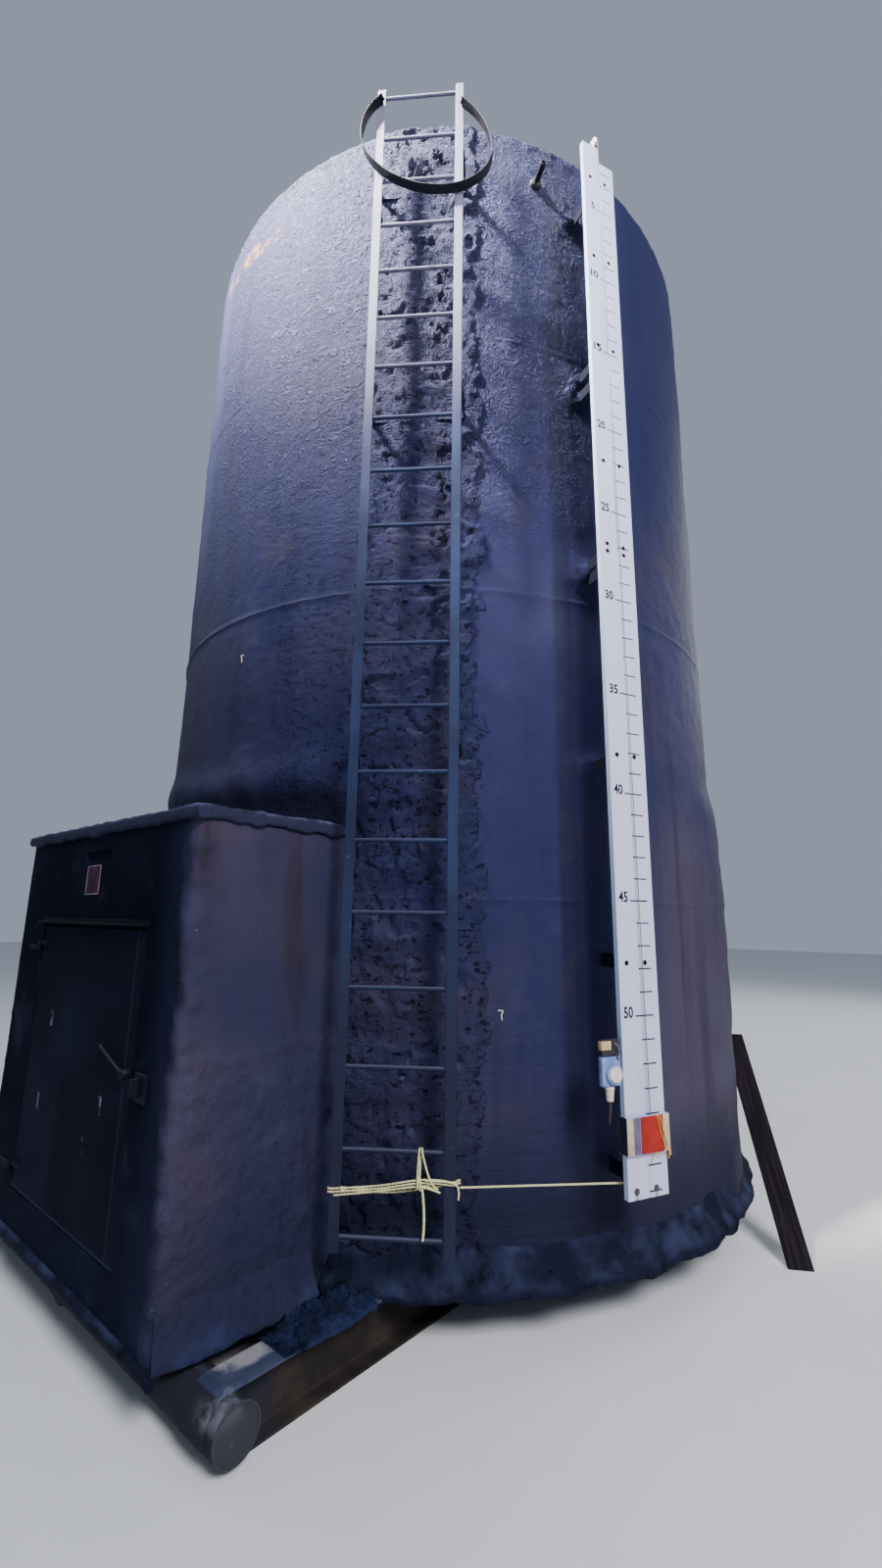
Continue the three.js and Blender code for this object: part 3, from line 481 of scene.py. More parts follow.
def coating_finish():
    """The coating. COATING_MARKS holds where round the tank each mark begins and ends, in degrees."""
    finish = Finish("tank_coating", specular=0.05)
    angle = finish.angle()
    ladder_across = finish.across(LADDER)
    wide = finish.noise(0.7, 4, 0.5)
    patch = finish.noise(2.6, 6, 0.6, stretch=(1, 1, 0.7))
    streak = finish.noise(7.0, 5, 0.6, stretch=(1, 1, 0.07))
    grain = finish.noise(70, 6, 0.65)
    wall = 1.0 - finish.facing_up()
    right_side = finish.rise(angle, -24.0, -8.0) * finish.rise(angle, 170.0, 120.0) * wall
    plum = right_side * finish.rise(angle, 120.0, 60.0) * (0.1 + 0.9 * finish.rise(finish.z, 3.6, 1.4))
    finish.colour = finish.mix(finish.rise(wide + 0.45 * plum, 0.45, 0.95), NAVY, PLUM)
    finish.coat(finish.rise(patch, 0.5, 0.8) * 0.25, PALE)
    beside_board = finish.window(angle, *COATING_MARKS["beside_board"], 1.2) * wall
    finish.coat(finish.rise(streak, 0.46, 0.78) * (0.35 + 0.15 * plum), SOOT_AND_SHADE)
    finish.coat(beside_board * 0.45, SOOT_AND_SHADE)
    # Towards the top, except on the right side, the shell is painted paler: painted sunlight on the lit top.
    high = finish.rise(finish.z, 4.4, 6.2)
    finish.coat(high * (0.3 + 0.2 * patch) * (1 - right_side), PALE)
    # The upper right side is painted darker navy: painted shade on the side turned from the light.
    shaded_upper_right = right_side * finish.rise(finish.z, 2.6, 4.4)
    finish.coat(shaded_upper_right * 0.75, SHADED_NAVY)
    brown = finish.rise(finish.noise(1.9, 5, 0.6), 0.5, 0.68) * finish.rise(finish.z, 4.6, 3.6)
    finish.coat(brown * 0.35, BROWN)
    # A painted shadow in the hollow under the foam's swell above the house roof.
    hollow = finish.window(angle, *COATING_MARKS["hollow"], 5.0)
    hollow = hollow * finish.window(finish.z, 2.0, 2.16 + 0.12 * wide, 0.10)
    finish.coat(hollow * 0.6, SOOT_AND_SHADE)
    ragged = ladder_across + (finish.noise(3.2, 6, 0.65) - 0.5) * 0.4
    ladder_side = finish.rise(finish.outwards(LADDER), 1.6, 1.75)
    strip = finish.window(ragged, -0.26, 0.32, 0.03) * ladder_side
    beside_ladder = finish.window(ragged, -0.62, -0.2, 0.12) * ladder_side
    pits = finish.rise(finish.noise(22, 7, 0.7, stretch=(1, 1, 1.5)), 0.58, 0.63)
    # The strip behind the ladder is a little darker, and its pits are painted much darker: painted shade in
    # the holes.
    finish.coat(strip * (0.10 + pits * 0.65) + beside_ladder * pits * 0.12, SOOT_AND_SHADE)
    peel = abs(finish.noise(24, 3, 0.55, distortion=1.2) - 0.5) * 4.0
    peel_zone = finish.window(angle, *COATING_MARKS["orange_peel"], 6.0) * finish.rise(finish.z, 3.2, 4.6) * wall
    # The creases between the orange peel's bumps are darkened: painted shade.
    finish.coat(peel_zone * finish.rise(peel, 0.4, 0.1) * 0.4, SOOT_AND_SHADE)
    drag = finish.noise(9, 6, 0.65, stretch=(0.35, 0.35, 3.0)) * finish.window(angle, *COATING_MARKS["drag"], 4.0)
    drag = drag * finish.rise(finish.z, 1.6, 1.0)
    ripple = finish.noise(12, 6, 0.65, stretch=(1, 1, 3.0))
    torn = finish.noise(18, 6, 0.7) * 1.6 + 1.4 * ripple - 1.6 * pits
    behind_ladder = (strip + 0.8 * beside_ladder) * torn
    height = grain * 0.35 + peel * (0.12 + 1.8 * peel_zone) + behind_ladder + 1.2 * drag
    rust = (
        finish.window(angle, *COATING_MARKS["rust"], 1.5)
        * finish.window(finish.z + (angle + 104.0) * 0.0072, 6.03, 6.10, 0.04)
        * finish.rise(finish.noise(11, 6, 0.7), 0.48, 0.58)
    )
    finish.coat(rust * 0.75, RUST)
    fleck = finish.rise(finish.cells(5.5), 0.028, 0.015) * finish.rise(finish.noise(0.8), 0.52, 0.6)
    finish.coat(fleck * 0.8, FLECK)
    # Upward faces are paler: dust, and painted sky light.
    finish.coat(finish.facing_up() * (0.1 + 0.7 * patch), PALE)
    foot = finish.rise(finish.z + 0.3 * (patch - 0.5), 0.95, 0.40)
    finish.coat(foot * 0.8, FOOT_SHADE)
    return finish.paint(0.45 + 0.3 * grain, height, 0.008)


COATING = coating_finish()
print("finish:", COATING.name)

# %% [markdown]
# ## The foam skin
# A cylinder with a bump map has a dead straight outline. Real sprayed foam doesn't: it swells, sags over the
# ring seams and breaks up at the rim. So each course is a fine grid that is pushed in and out by noise, with
# its own rules behind the ladder, beside the gauge board and at the seams. The hidden side gets a coarser
# grid.

# %% Shape of the foam
COURSE = 1.524
SHELL_INNER = 1.824
SHOULDER_DROP = 0.06
SEAMS = [SHELL_BASE + COURSE * i for i in (1, 2, 3)]
FINE_COLUMNS = [math.radians(a) for a in spaced([-130.0, -66.0], 0.6)]
FINE_COLUMNS += [math.radians(a) for a in spaced([-66.0, -27.0], 0.25)][1:]
FINE_COLUMNS += [math.radians(a) for a in spaced([-27.0, 40.0], 0.6)][1:]
COARSE_COLUMNS = [math.radians(a) for a in spaced([40.0, 230.0], 1.6)][1:-1]
COLUMNS = FINE_COLUMNS + COARSE_COLUMNS
ROW_STEP = 0.0135
GAUGE_BRACKETS = [0.62, 1.475, 2.388, 3.39, 3.47, 4.525, 4.64, 5.76]
LADDER_BRACKETS = [0.905, 2.43, 4.26, 5.78]
HOUSE_ROOF_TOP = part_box("house_roof")[1].z
RELIEF = {
    "orange_peel": (-72.0, -28.0),
    "left_ridge": (-135.0, -66.0),
    "beside_ladder": (-82.0, -62.0),
    "bulge": (6.0, 30.0),
    "over_house": (-116.0, -66.0),
}


def patched_strip(place, across):
    """The foam behind the ladder: plates laid over each other with ragged edges, torn holes and mounds round
    the brackets."""
    ragged = across + 0.075 * lumps(place, 0.26, 5)
    strip = window(ragged, -0.25, 0.31, 0.012)
    plates = smooth(lumps(place, 0.24, 2), -0.06, 0.06)
    holes = smooth(lumps(place + Vector((5, 1, 2)), 0.075, 3), 0.26, 0.42)
    reach = 0.010 + 0.008 * plates + 0.008 * lumps(place, 0.055, 3) - 0.022 * holes
    near_bracket = sum(math.exp(-(((place.z - z) / 0.045) ** 2)) for z in LADDER_BRACKETS)
    return strip * max(reach, 0.014 * near_bracket)


def foam_reach(angle, z):
    """How far the foam stands out from its even radius, at an angle in degrees and a height. RELIEF says
    where round the tank each kind of relief begins and ends."""
    turn = math.radians(angle)
    place = Vector((SHELL * math.cos(turn), SHELL * math.sin(turn), z))
    reach = 0.007 * lumps(place, 0.7, 2) + 0.0025 * lumps(place, 0.11, 3)
    if abs(angle - LADDER_ANGLE) < 30:
        reach += patched_strip(place, SHELL * math.sin(turn - math.radians(LADDER_ANGLE)))
    peel = window(angle, *RELIEF["orange_peel"], 4.0) * smooth(z, 3.0, 4.6)
    reach += peel * 0.0035 * lumps(place, 0.035, 2)
    left_ridge = window(angle, *RELIEF["left_ridge"], 2.0)
    for seam in SEAMS:
        wave = seam + 0.012 * lumps(place, 0.8, 2)
        ridge = 0.004 + (0.005 * left_ridge if seam == SEAMS[1] else 0.0)
        reach += ridge * math.exp(-(((z - wave) / 0.013) ** 2))
    reach += window(angle, *RELIEF["beside_ladder"], 5.0) * 0.0035 * lumps(place, 0.045, 3)
    bulge = window(angle, *RELIEF["bulge"], 6.0) * smooth(z, 2.55, 2.2)
    reach += bulge * (0.040 + 0.01 * lumps(place, 0.3, 2))
    over_house = window(angle, *RELIEF["over_house"], 3.0)
    over_house *= smooth(z, HOUSE_ROOF_TOP - 0.1, HOUSE_ROOF_TOP)
    above = z - HOUSE_ROOF_TOP - 0.09 * lumps((place.x, place.y, 0), 0.35, 3)
    swell = 0.034 * math.exp(-(((above - 0.27) / 0.11) ** 2))
    hollow = 0.016 * smooth(above, 0.2, 0.05)
    reach += over_house * (swell - hollow)
    across_gauge = SHELL * math.sin(turn - math.radians(GAUGE_ANGLE)) + 0.045
    for bracket in GAUGE_BRACKETS:
        spread = ((z - bracket) / 0.065) ** 2 + (across_gauge / 0.10) ** 2
        if spread < 6:
            reach += (0.026 + 0.012 * lumps(place, 0.05, 2)) * math.exp(-spread)
    rim = smooth(z, SHELL_TOP - 0.25, SHELL_TOP - 0.03)
    reach += rim * 0.006 * lumps(place, 0.06, 3)
    return max(-0.02, reach)


def shoulder(z):
    """How far the foam draws in at the rim."""
    drop = SHELL_TOP - z
    return 0.028 * (1 - min(1.0, drop / SHOULDER_DROP)) ** 1.7 if drop < SHOULDER_DROP else 0.0


def course(name, low, high):
    """One course: a closed ring whose section runs up its outer face and down its plain inner face."""
    heights = spaced([low, high], ROW_STEP)
    rings = []
    for turn in COLUMNS:
        way = Vector((math.cos(turn), math.sin(turn), 0))
        degrees = math.degrees(turn)
        degrees -= 360 if degrees > 180 else 0
        ring = [way * (SHELL + foam_reach(degrees, z) - shoulder(z)) + Vector((0, 0, z)) for z in heights]
        ring += [way * SHELL_INNER + Vector((0, 0, z)) for z in (high, low)]
        rings.append(ring)
    return Piece().loft(rings, closed=True).done(name + "_foam", COATING, replaces=[name], sharp=60)


for course_name in ("shell_course_bottom", "shell_course_second", "shell_course_third", "shell_course_top"):
    low_corner, high_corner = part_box(course_name)
    made = course(course_name, low_corner.z, high_corner.z)
    print(made.name, len(made.data.polygons), "faces")

# %% [markdown]
# ## The roof
# The roof is a low cone with the same coating. It is lofted as rings from its rim to its middle, and its rim
# rolls over the shell's shoulder.

# %% Roof
ROOF_SIDES = 360
ROOF_RIM = 1.852
ROOF_ROUNDING = 0.05
ROOF_STEP = 0.025
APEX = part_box("roof")[1].z


def roof_height(radius):
    """The coated cone's height, rounded where it meets the rim."""
    even = ROOF_RIM - ROOF_ROUNDING
    cone = SHELL_TOP + ROOF_STEP + (APEX - SHELL_TOP - ROOF_STEP) * (1 - radius / even)
    past = max(0.0, radius - even) / ROOF_ROUNDING
    edge = SHELL_TOP + 0.0003 + 0.026 * math.sqrt(max(0.0, 1 - past**2))
    return min(cone, edge) if radius > 1.79 else cone


def roof_ring(radius, height_at, rough):
    ring = []
    for i in range(ROOF_SIDES):
        turn = 2 * math.pi * i / ROOF_SIDES
        place = Vector((radius * math.cos(turn), radius * math.sin(turn), height_at))
        place.z += rough * (0.004 * lumps(place, 0.5, 2) + 0.003 * lumps(place, 0.07, 3) - 0.004)
        ring.append(place)
    return ring


def roof():
    middle, under_rise = 0.01, 0.152
    under_radii = (middle, 0.9, SHELL_INNER)
    underside = [roof_ring(r, SHELL_TOP + under_rise * (1 - r / SHELL_INNER), 0.0) for r in under_radii]
    radii = [ROOF_RIM, 1.850, 1.846, 1.840, 1.832, 1.822, 1.812]
    radii += [1.80 * (1 - i / 60) for i in range(60)] + [middle]
    topside = [roof_ring(r, roof_height(r), smooth(r, ROOF_RIM, 1.82) * smooth(r, 0.0, 0.2)) for r in radii]
    return Piece().loft(underside + topside).done("roof_coat", COATING, replaces=["roof"], sharp=60)


print(roof().name, "apex", round(APEX, 3))

# %% [markdown]
# ## The valve house's walls
# The house is boards under the same foam, sprayed round its corners in one coat. Four flat walls would show
# straight corners, so one sheet is bent round the plan: back along the left side, round the corner, across
# the front and back along the right side. The sheet is a grid with the doorway left out, given its thickness
# by a second grid, and closed round every edge.

# %% Finish of the house
HOUSE_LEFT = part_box("side_wall_left")[0].x
HOUSE_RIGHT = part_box("side_wall_right")[1].x
HOUSE_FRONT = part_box("front_wall_left")[0].y
HOUSE_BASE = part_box("front_wall_left")[0].z
HOUSE_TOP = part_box("front_wall_left")[1].z
WALL = 0.06
DOORWAY = {"x": (-0.586, 0.556), "z": (0.382, 1.593)}
SLOT = {"x": (-0.155, 0.115), "z": (1.895, 1.937), "depth": 0.014}


def house_finish():
    finish = Finish("house_coating", specular=0.01)
    wide = finish.noise(1.6, 4, 0.5)
    patch = finish.noise(4.0, 5, 0.6)
    side = finish.rise(finish.x + 0.12 * (patch - 0.5), HOUSE_RIGHT - 0.08, HOUSE_RIGHT - 0.005)
    streak = finish.noise(4.5, 4, 0.55, stretch=(1, 1, 0.1))
    grain = finish.noise(60, 6, 0.65)
    # The front wall is painted far darker than the side wall of the same foam: painted shade on the front.
    front = finish.mix(finish.rise(wide, 0.4, 0.7), srgb(11, 13, 26), srgb(19, 21, 37))
    plain = finish.mix(finish.rise(wide, 0.35, 0.7), srgb(43, 43, 65), srgb(62, 55, 71))
    upper = finish.rise(finish.z + 0.3 * (patch - 0.5), 1.0, 1.5)
    plain = finish.mix(finish.rise(streak, 0.42, 0.7) * (0.15 + 0.4 * upper), plain, srgb(56, 45, 50))
    near_tank = finish.rise(finish.y, -2.15, -1.8)
    plain = finish.mix(finish.rise(streak, 0.48, 0.62) * near_tank * 0.7, plain, srgb(24, 22, 30))
    # Near the right corner the front is painted lighter, with pale patches along the corner: painted light
    # where it turns to the lit side.
    lit_near_corner = finish.rise(finish.x, HOUSE_RIGHT - 0.30, HOUSE_RIGHT - 0.06)
    front = finish.mix(lit_near_corner * 0.5, front, srgb(34, 38, 62))
    finish.colour = finish.mix(side, front, plain)
    corner = finish.rise(finish.x, HOUSE_RIGHT - 0.12, HOUSE_RIGHT - 0.03)
    corner = corner * finish.rise(finish.y, -2.30, -2.37)
    finish.coat(corner * finish.rise(patch, 0.42, 0.64) * 0.25, srgb(52, 56, 84))
    low = finish.rise(finish.z, 0.9, 0.25)
    finish.coat(low * (0.3 + 0.4 * side), srgb(27, 32, 52))
    # Where the side wall's foot flares out, patches are painted lighter blue: painted sky light on the flare.
    flared = finish.rise(finish.x, HOUSE_RIGHT + 0.015, HOUSE_RIGHT + 0.05) * finish.rise(patch, 0.38, 0.62)
    finish.coat(flared * 0.5, srgb(48, 54, 88))
    finish.coat(finish.rise(patch, 0.52, 0.8) * 0.22, srgb(70, 72, 92))
    finish.coat(finish.rise(streak, 0.56, 0.72) * finish.rise(finish.z, 1.0, 1.9) * 0.5, SOOT_AND_SHADE)
    speck = finish.rise(finish.cells(16), 0.06, 0.03) * finish.rise(finish.noise(3.0), 0.56, 0.66)
    finish.coat(speck * 0.5, srgb(120, 126, 148))
    rough_half = finish.rise(finish.z, 1.3, 1.0) * side
    lumpy = finish.noise(22, 5, 0.6)
    height = grain * 0.6 + 0.8 * patch + lumpy * (0.5 + 2.2 * rough_half)
    # On the lower side wall the low places between the lumps are darkened: painted shade.
    finish.coat(rough_half * finish.rise(lumpy, 0.44, 0.34) * 0.18, SOOT_AND_SHADE)
    return finish.paint(0.5 + 0.3 * grain, height, 0.005)


HOUSE = house_finish()
print("finish:", HOUSE.name)


# %% A sheet with a thickness
def sheet_solid(piece, outer, inner, kept):
    """Faces of a closed slab from two grids of places. kept(i, j) says whether a cell is there."""
    columns, rows = len(outer), len(outer[0])
    front = [[piece.bm.verts.new(p) for p in column] for column in outer]
    back = [[piece.bm.verts.new(p) for p in column] for column in inner]

    def there(i, j):
        return 0 <= i < columns - 1 and 0 <= j < rows - 1 and kept(i, j)

    for i in range(columns - 1):
        for j in range(rows - 1):
            if not there(i, j):
                continue
            piece.bm.faces.new((front[i][j], front[i + 1][j], front[i + 1][j + 1], front[i][j + 1]))
            piece.bm.faces.new((back[i][j], back[i][j + 1], back[i + 1][j + 1], back[i + 1][j]))
            sides = (
                (there(i - 1, j), (i, j), (i, j + 1)),
                (there(i + 1, j), (i + 1, j + 1), (i + 1, j)),
                (there(i, j - 1), (i + 1, j), (i, j)),
                (there(i, j + 1), (i, j + 1), (i + 1, j + 1)),
            )
            for covered, (a, b), (c, d) in sides:
                if not covered:
                    piece.bm.faces.new((front[a][b], front[c][d], back[c][d], back[a][b]))
    loose = [v for v in piece.bm.verts if not v.link_faces]
    bmesh.ops.delete(piece.bm, geom=loose, context="VERTS")
    bmesh.ops.remove_doubles(piece.bm, verts=piece.bm.verts, dist=1e-5)
    return piece


print("sheet helper is ready")

# %% House walls
CORNER = 0.035
CORNER_STEPS = 6
SHEET_STEP = 0.014
WALLS_BACK = (-1.615, -1.64)
SLOT_LIP = 0.002


def slot_breaks(axis):
    """Grid lines just outside and inside both edges of the slot."""
    return [edge + shift for edge in SLOT[axis] for shift in (-SLOT_LIP, SLOT_LIP)]


def round_corner(middle_x, inner, first):
    """Places round an upright corner of the house, each with its way out, from the first direction on."""
    places = []
    for i in range(1, CORNER_STEPS):
        turn = math.radians(first + 90 * i / CORNER_STEPS)
        way = (math.cos(turn), math.sin(turn))
        outer = (middle_x + CORNER * way[0], HOUSE_FRONT + CORNER + CORNER * way[1])
        places.append((outer, inner, way))
    return places


def wall_plan():
    """Places along the plan of the walls: outer place, inner place and the way out, from left to right."""
    back_left, back_right = WALLS_BACK
    plan = []
    inner_front = HOUSE_FRONT + WALL
    for y in spaced([back_left, HOUSE_FRONT + CORNER], SHEET_STEP):
        inner = (HOUSE_LEFT + WALL, min(back_left, max(y, inner_front)))
        plan.append(((HOUSE_LEFT, y), inner, (-1, 0)))
    plan += round_corner(HOUSE_LEFT + CORNER, (HOUSE_LEFT + WALL, inner_front), 180)
    across = [DOORWAY["x"][0], *slot_breaks("x"), DOORWAY["x"][1]]
    for x in spaced([HOUSE_LEFT + CORNER, *across, HOUSE_RIGHT - CORNER], SHEET_STEP):
        inner_x = min(HOUSE_RIGHT - WALL, max(HOUSE_LEFT + WALL, x))
        plan.append(((x, HOUSE_FRONT), (inner_x, inner_front), (0, -1)))
    plan += round_corner(HOUSE_RIGHT - CORNER, (HOUSE_RIGHT - WALL, inner_front), -90)
    for y in spaced([HOUSE_FRONT + CORNER, back_right], SHEET_STEP):
        inner = (HOUSE_RIGHT - WALL, min(back_right, max(y, inner_front)))
        plan.append(((HOUSE_RIGHT, y), inner, (1, 0)))
    return plan


def wall_reach(place, way):
    """How far the foam of the house stands out: lumps at the corners and low down, ripples on the sides."""
    x, y, z = place
    near_corner = smooth(max(abs(x - HOUSE_RIGHT), abs(y - HOUSE_FRONT)), 0.16, 0.03)
    side = abs(way[0])
    reach = 0.003 * lumps(place, 0.5, 2) + 0.0012 * lumps(place, 0.07, 3)
    reach += near_corner * (0.005 + 0.014 * lumps(place, 0.085, 3))
    low = smooth(z, 1.25, 0.95) * side
    reach += low * (0.006 * lumps((x, y, z * 1.6), 0.11, 3) + 0.003 * lumps(place, 0.045, 2))
    ripple_line = 1.13 + 0.05 * lumps((0, y, 0), 0.25, 2)
    reach += side * 0.006 * math.exp(-(((z - ripple_line) / 0.018) ** 2))
    in_slot = SLOT["x"][0] < x < SLOT["x"][1] and SLOT["z"][0] < z < SLOT["z"][1] and side < 0.1
    if in_slot:
        return -SLOT["depth"]
    in_door_frame = window(x, *DOORWAY["x"], 0.03) * window(z, *DOORWAY["z"], 0.03) * (1 - side)
    calm = (1 - in_door_frame) * smooth(z, HOUSE_BASE, HOUSE_BASE + 0.03)
    calm *= smooth(z, HOUSE_TOP, HOUSE_TOP - 0.03)
    return max(-0.008, reach) * calm


def house_walls():
    plan = wall_plan()
    heights = spaced([HOUSE_BASE, *DOORWAY["z"], *slot_breaks("z"), HOUSE_TOP], SHEET_STEP)
    outer, inner = [], []
    for (x, y), (inner_x, inner_y), way in plan:
        out = Vector((*way, 0))
        outer.append([Vector((x, y, z)) + out * wall_reach((x, y, z), way) for z in heights])
        inner.append([Vector((inner_x, inner_y, z)) for z in heights])

    def kept(i, j):
        middle_x = (plan[i][0][0] + plan[i + 1][0][0]) / 2
        middle_z = (heights[j] + heights[j + 1]) / 2
        at_front = plan[i][2] == (0, -1)
        in_width = DOORWAY["x"][0] < middle_x < DOORWAY["x"][1]
        in_height = DOORWAY["z"][0] < middle_z < DOORWAY["z"][1]
        return not (at_front and in_width and in_height)

    stands_for = ["front_wall_left", "front_wall_right", "front_wall_header", "front_wall_sill"]
    stands_for += ["side_wall_left", "side_wall_right"]
    return sheet_solid(Piece(), outer, inner, kept).done("house_walls", HOUSE, replaces=stands_for, sharp=55)


print(house_walls().name, "with a doorway", [round(b - a, 3) for a, b in DOORWAY.values()])

# %% [markdown]
# ## The house's roof
# A foam slab whose edge was sprayed too thick, so that it rolls over like a pillow and hangs past the walls.
# Its back edge follows the shell. Two grids make it, and both are drawn in near the edge along a quarter
# circle.

# %% House roof
ROOF_LOW, ROOF_HIGH = (corner.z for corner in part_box("house_roof"))
ROOF_EDGE = 0.024
ROOF_MEETS_SHELL = 1.868


def edge_drop(distance, radius):
    """How far a rounded edge falls away at a distance in from it."""
    if distance >= radius:
        return 0.0
    return radius - math.sqrt(max(0.0, radius * radius - (radius - distance) ** 2))


def house_roof():
    left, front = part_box("house_roof")[0].xy
    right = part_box("house_roof")[1].x
    near_edge = [0.0, 0.002, 0.006, 0.012, 0.018, 0.026]
    span = right - left
    xs = [left + d for d in near_edge] + spaced([left + 0.04, right - 0.04], 0.018)
    xs += [right - d for d in reversed(near_edge)]
    top, bottom = [], []
    for x in xs:
        back = -math.sqrt(max(0.0, ROOF_MEETS_SHELL**2 - x * x))
        depth = back - front
        ys = [front + d for d in near_edge]
        ys += [front + 0.04 + (depth - 0.04) * i / 36 for i in range(37)]
        top_row, bottom_row = [], []
        for y in ys:
            distance = min(x - left, right - x, y - front)
            place = Vector((x, y, ROOF_HIGH))
            both_sizes = 0.011 * lumps(place, 0.11, 3) + 0.006 * lumps(place, 0.045, 2)
            lump = smooth(distance, 0.12, 0.01) * both_sizes
            rough = 0.004 * lumps(place, 0.3, 2) + lump - 0.004
            ridge = 0.010 * window(distance, 0.02, 0.05, 0.02) - 0.010
            relief = min(0.0, rough + ridge) * smooth(distance, 0, 0.02)
            top_z = ROOF_HIGH - edge_drop(distance, ROOF_EDGE) + relief
            sag = 0.022 * smooth(distance, 0.06, 0.0) * max(0.0, lumps(place, 0.10, 3) + 0.1)
            bottom_z = ROOF_LOW + edge_drop(distance, 0.014) + 0.004 - sag
            top_row.append(Vector((x, y, top_z)))
            bottom_row.append(Vector((x, y, min(bottom_z, top_z - 0.004))))
        top.append(top_row)
        bottom.append(bottom_row)
    made = sheet_solid(Piece(), top, bottom, lambda i, j: True)
    print("house roof spans", round(span, 3), "m")
    return made.done("house_roof_coat", LIP, replaces=["house_roof"], sharp=70)


def lip_finish():
    """Dark cracked foam. Above the house, where light falls on it, its broken places are the palest."""
    finish = Finish("lip_foam", specular=0.04)
    wide = finish.noise(3.0, 5, 0.6)
    dust = finish.noise(6.0, 4, 0.55)
    crack = finish.noise(9, 8, 0.72)
    grain = finish.noise(90, 5, 0.7)
    finish.colour = finish.mix(finish.rise(wide, 0.35, 0.7), srgb(19, 22, 38), srgb(29, 32, 53))
    # The cracks are darkened: painted shade in them.
    finish.coat(finish.rise(crack, 0.46, 0.38) * 0.8, srgb(6, 7, 13))
    # Upward faces get dust and painted sky light.
    finish.coat(finish.facing_up() * finish.rise(dust, 0.38, 0.66) * 0.5, srgb(62, 69, 102))
    # Above the house the foam is painted paler, and its upward broken places palest: painted light.
    upper = finish.rise(finish.z, 1.9, 2.0)
    finish.coat(upper * 0.35, srgb(60, 62, 86))
    broken = upper * finish.facing_up() * finish.rise(crack, 0.48, 0.56)
    finish.coat(broken * 0.45, srgb(104, 108, 138))
    return finish.paint(0.5 + 0.3 * grain, crack * 2.2 + 0.3 * grain, 0.010)


def crumb_finish():
    """Loose grains of overspray, darkest in the gaps between them as painted shade."""
    finish = Finish("crumb_foam", specular=0.03)
    crumb = finish.noise(30, 7, 0.7)
    dust = finish.noise(8, 4, 0.55)
    grain = finish.noise(120, 5, 0.7)
    finish.colour = finish.mix(finish.rise(dust, 0.42, 0.6), srgb(27, 32, 54), srgb(37, 46, 76))
    # The gaps between grains are darkened as painted shade, more towards the front and near the inner edge.
    loose = 0.3 + 0.7 * finish.rise(finish.y, -1.90, -2.0) + 0.5 * finish.rise(abs(finish.x), 1.03, 0.99)
    finish.coat(finish.rise(crumb, 0.50, 0.42) * 0.75 * loose, srgb(7, 9, 18))
    return finish.paint(0.55 + 0.3 * grain, crumb * 2.4 + 0.4 * grain, 0.008)


LIP = lip_finish()
CRUMBS = crumb_finish()
print(house_roof().name, "top", round(ROOF_HIGH, 3))

# %% [markdown]
# ## Foam lips at the foot
# Where the spray ran out at the bottom it left a flared, ragged lip. A lip is one section swept along a
# path: round the tank, or straight along the house. Each ring of the sweep gets its own noise, and its lower
# points the most, because that edge crumbles. The lips beside the house are thin at its front corner and
# carry the house's own coat. Beside them loose overspray lies on the flanges of the skid: a crowned strip
# with much finer noise.

# %% Swept foam lips
RUNNER_X = (0.993, 1.132)
LIP_MIDDLE = 1.93
LIP_REACH = 1.9835
LIP_MEETS_HOUSE = {"right": 0.894, "left": -0.934}
LIP_CLEARS_BOX = 0.364
SKID_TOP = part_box("skid_runner_right")[1].z
LIP_SECTION = [(0.000, 0.196), (0.006, 0.182), (0.040, 0.178), (0.082, 0.178), (0.098, 0.184)]
LIP_SECTION += [(0.103, 0.198), (0.101, 0.214), (0.092, 0.232), (0.072, 0.256), (0.050, 0.284)]
LIP_SECTION += [(0.032, 0.312), (0.018, 0.334), (0.000, 0.344)]


def crumble(place, outward, share):
    """Moves a place of a lip by noise. share says how loose it is, from 0 at the root to 1 at the tip."""
    swell = lumps(place, 0.17, 3)
    fine = lumps(place, 0.05, 3)
    moved = place + outward * share * (0.018 * swell + 0.005 * fine - 0.008)
    moved.z += share * (0.015 * lumps(place + Vector((0, 0, 3.7)), 0.13, 3) + 0.002)
    if RUNNER_X[0] < abs(moved.x) < RUNNER_X[1]:
        moved.z = max(moved.z, SKID_TOP + 0.002)
    return moved


def round_lip(name, start, end):
    """The lip round the tank. Its upper border wanders, because the gun stopped at another height each
    time."""
    rings = []
    for degrees in spaced([start, end], 0.45):
        turn = math.radians(degrees)
        way = Vector((math.cos(turn), math.sin(turn), 0))
        border = 0.03 * lumps(way * SHELL, 0.4, 3) + 0.01
        flare = 0.03 * window(degrees, 178.0, 182.0, 8.0)
        ring = []
        for reach, z in LIP_SECTION:
            share = min(1.0, reach / 0.09)
            height = z + border * smooth(z, 0.25, 0.34)
            place = way * (SHELL - 0.01 + reach + flare * share) + Vector((0, 0, height))
            place = crumble(place, way, share)
            place.xy *= min(1.0, LIP_REACH / place.xy.length)
            ring.append(place)
        rings.append(ring)
    return Piece().loft(rings).done(name + "_foam", LIP, replaces=[name], sharp=70)


right_start = -math.degrees(math.acos(LIP_MEETS_HOUSE["right"] / LIP_MIDDLE))
left_end = 360 - math.degrees(math.acos(LIP_MEETS_HOUSE["left"] / LIP_MIDDLE))
cleanout_half = math.degrees(math.asin(LIP_CLEARS_BOX / LIP_MIDDLE))
round_lip("foot_lip_right", right_start, CLEANOUT_ANGLE - cleanout_half)
round_lip("foot_lip_rear", CLEANOUT_ANGLE + cleanout_half, left_end)


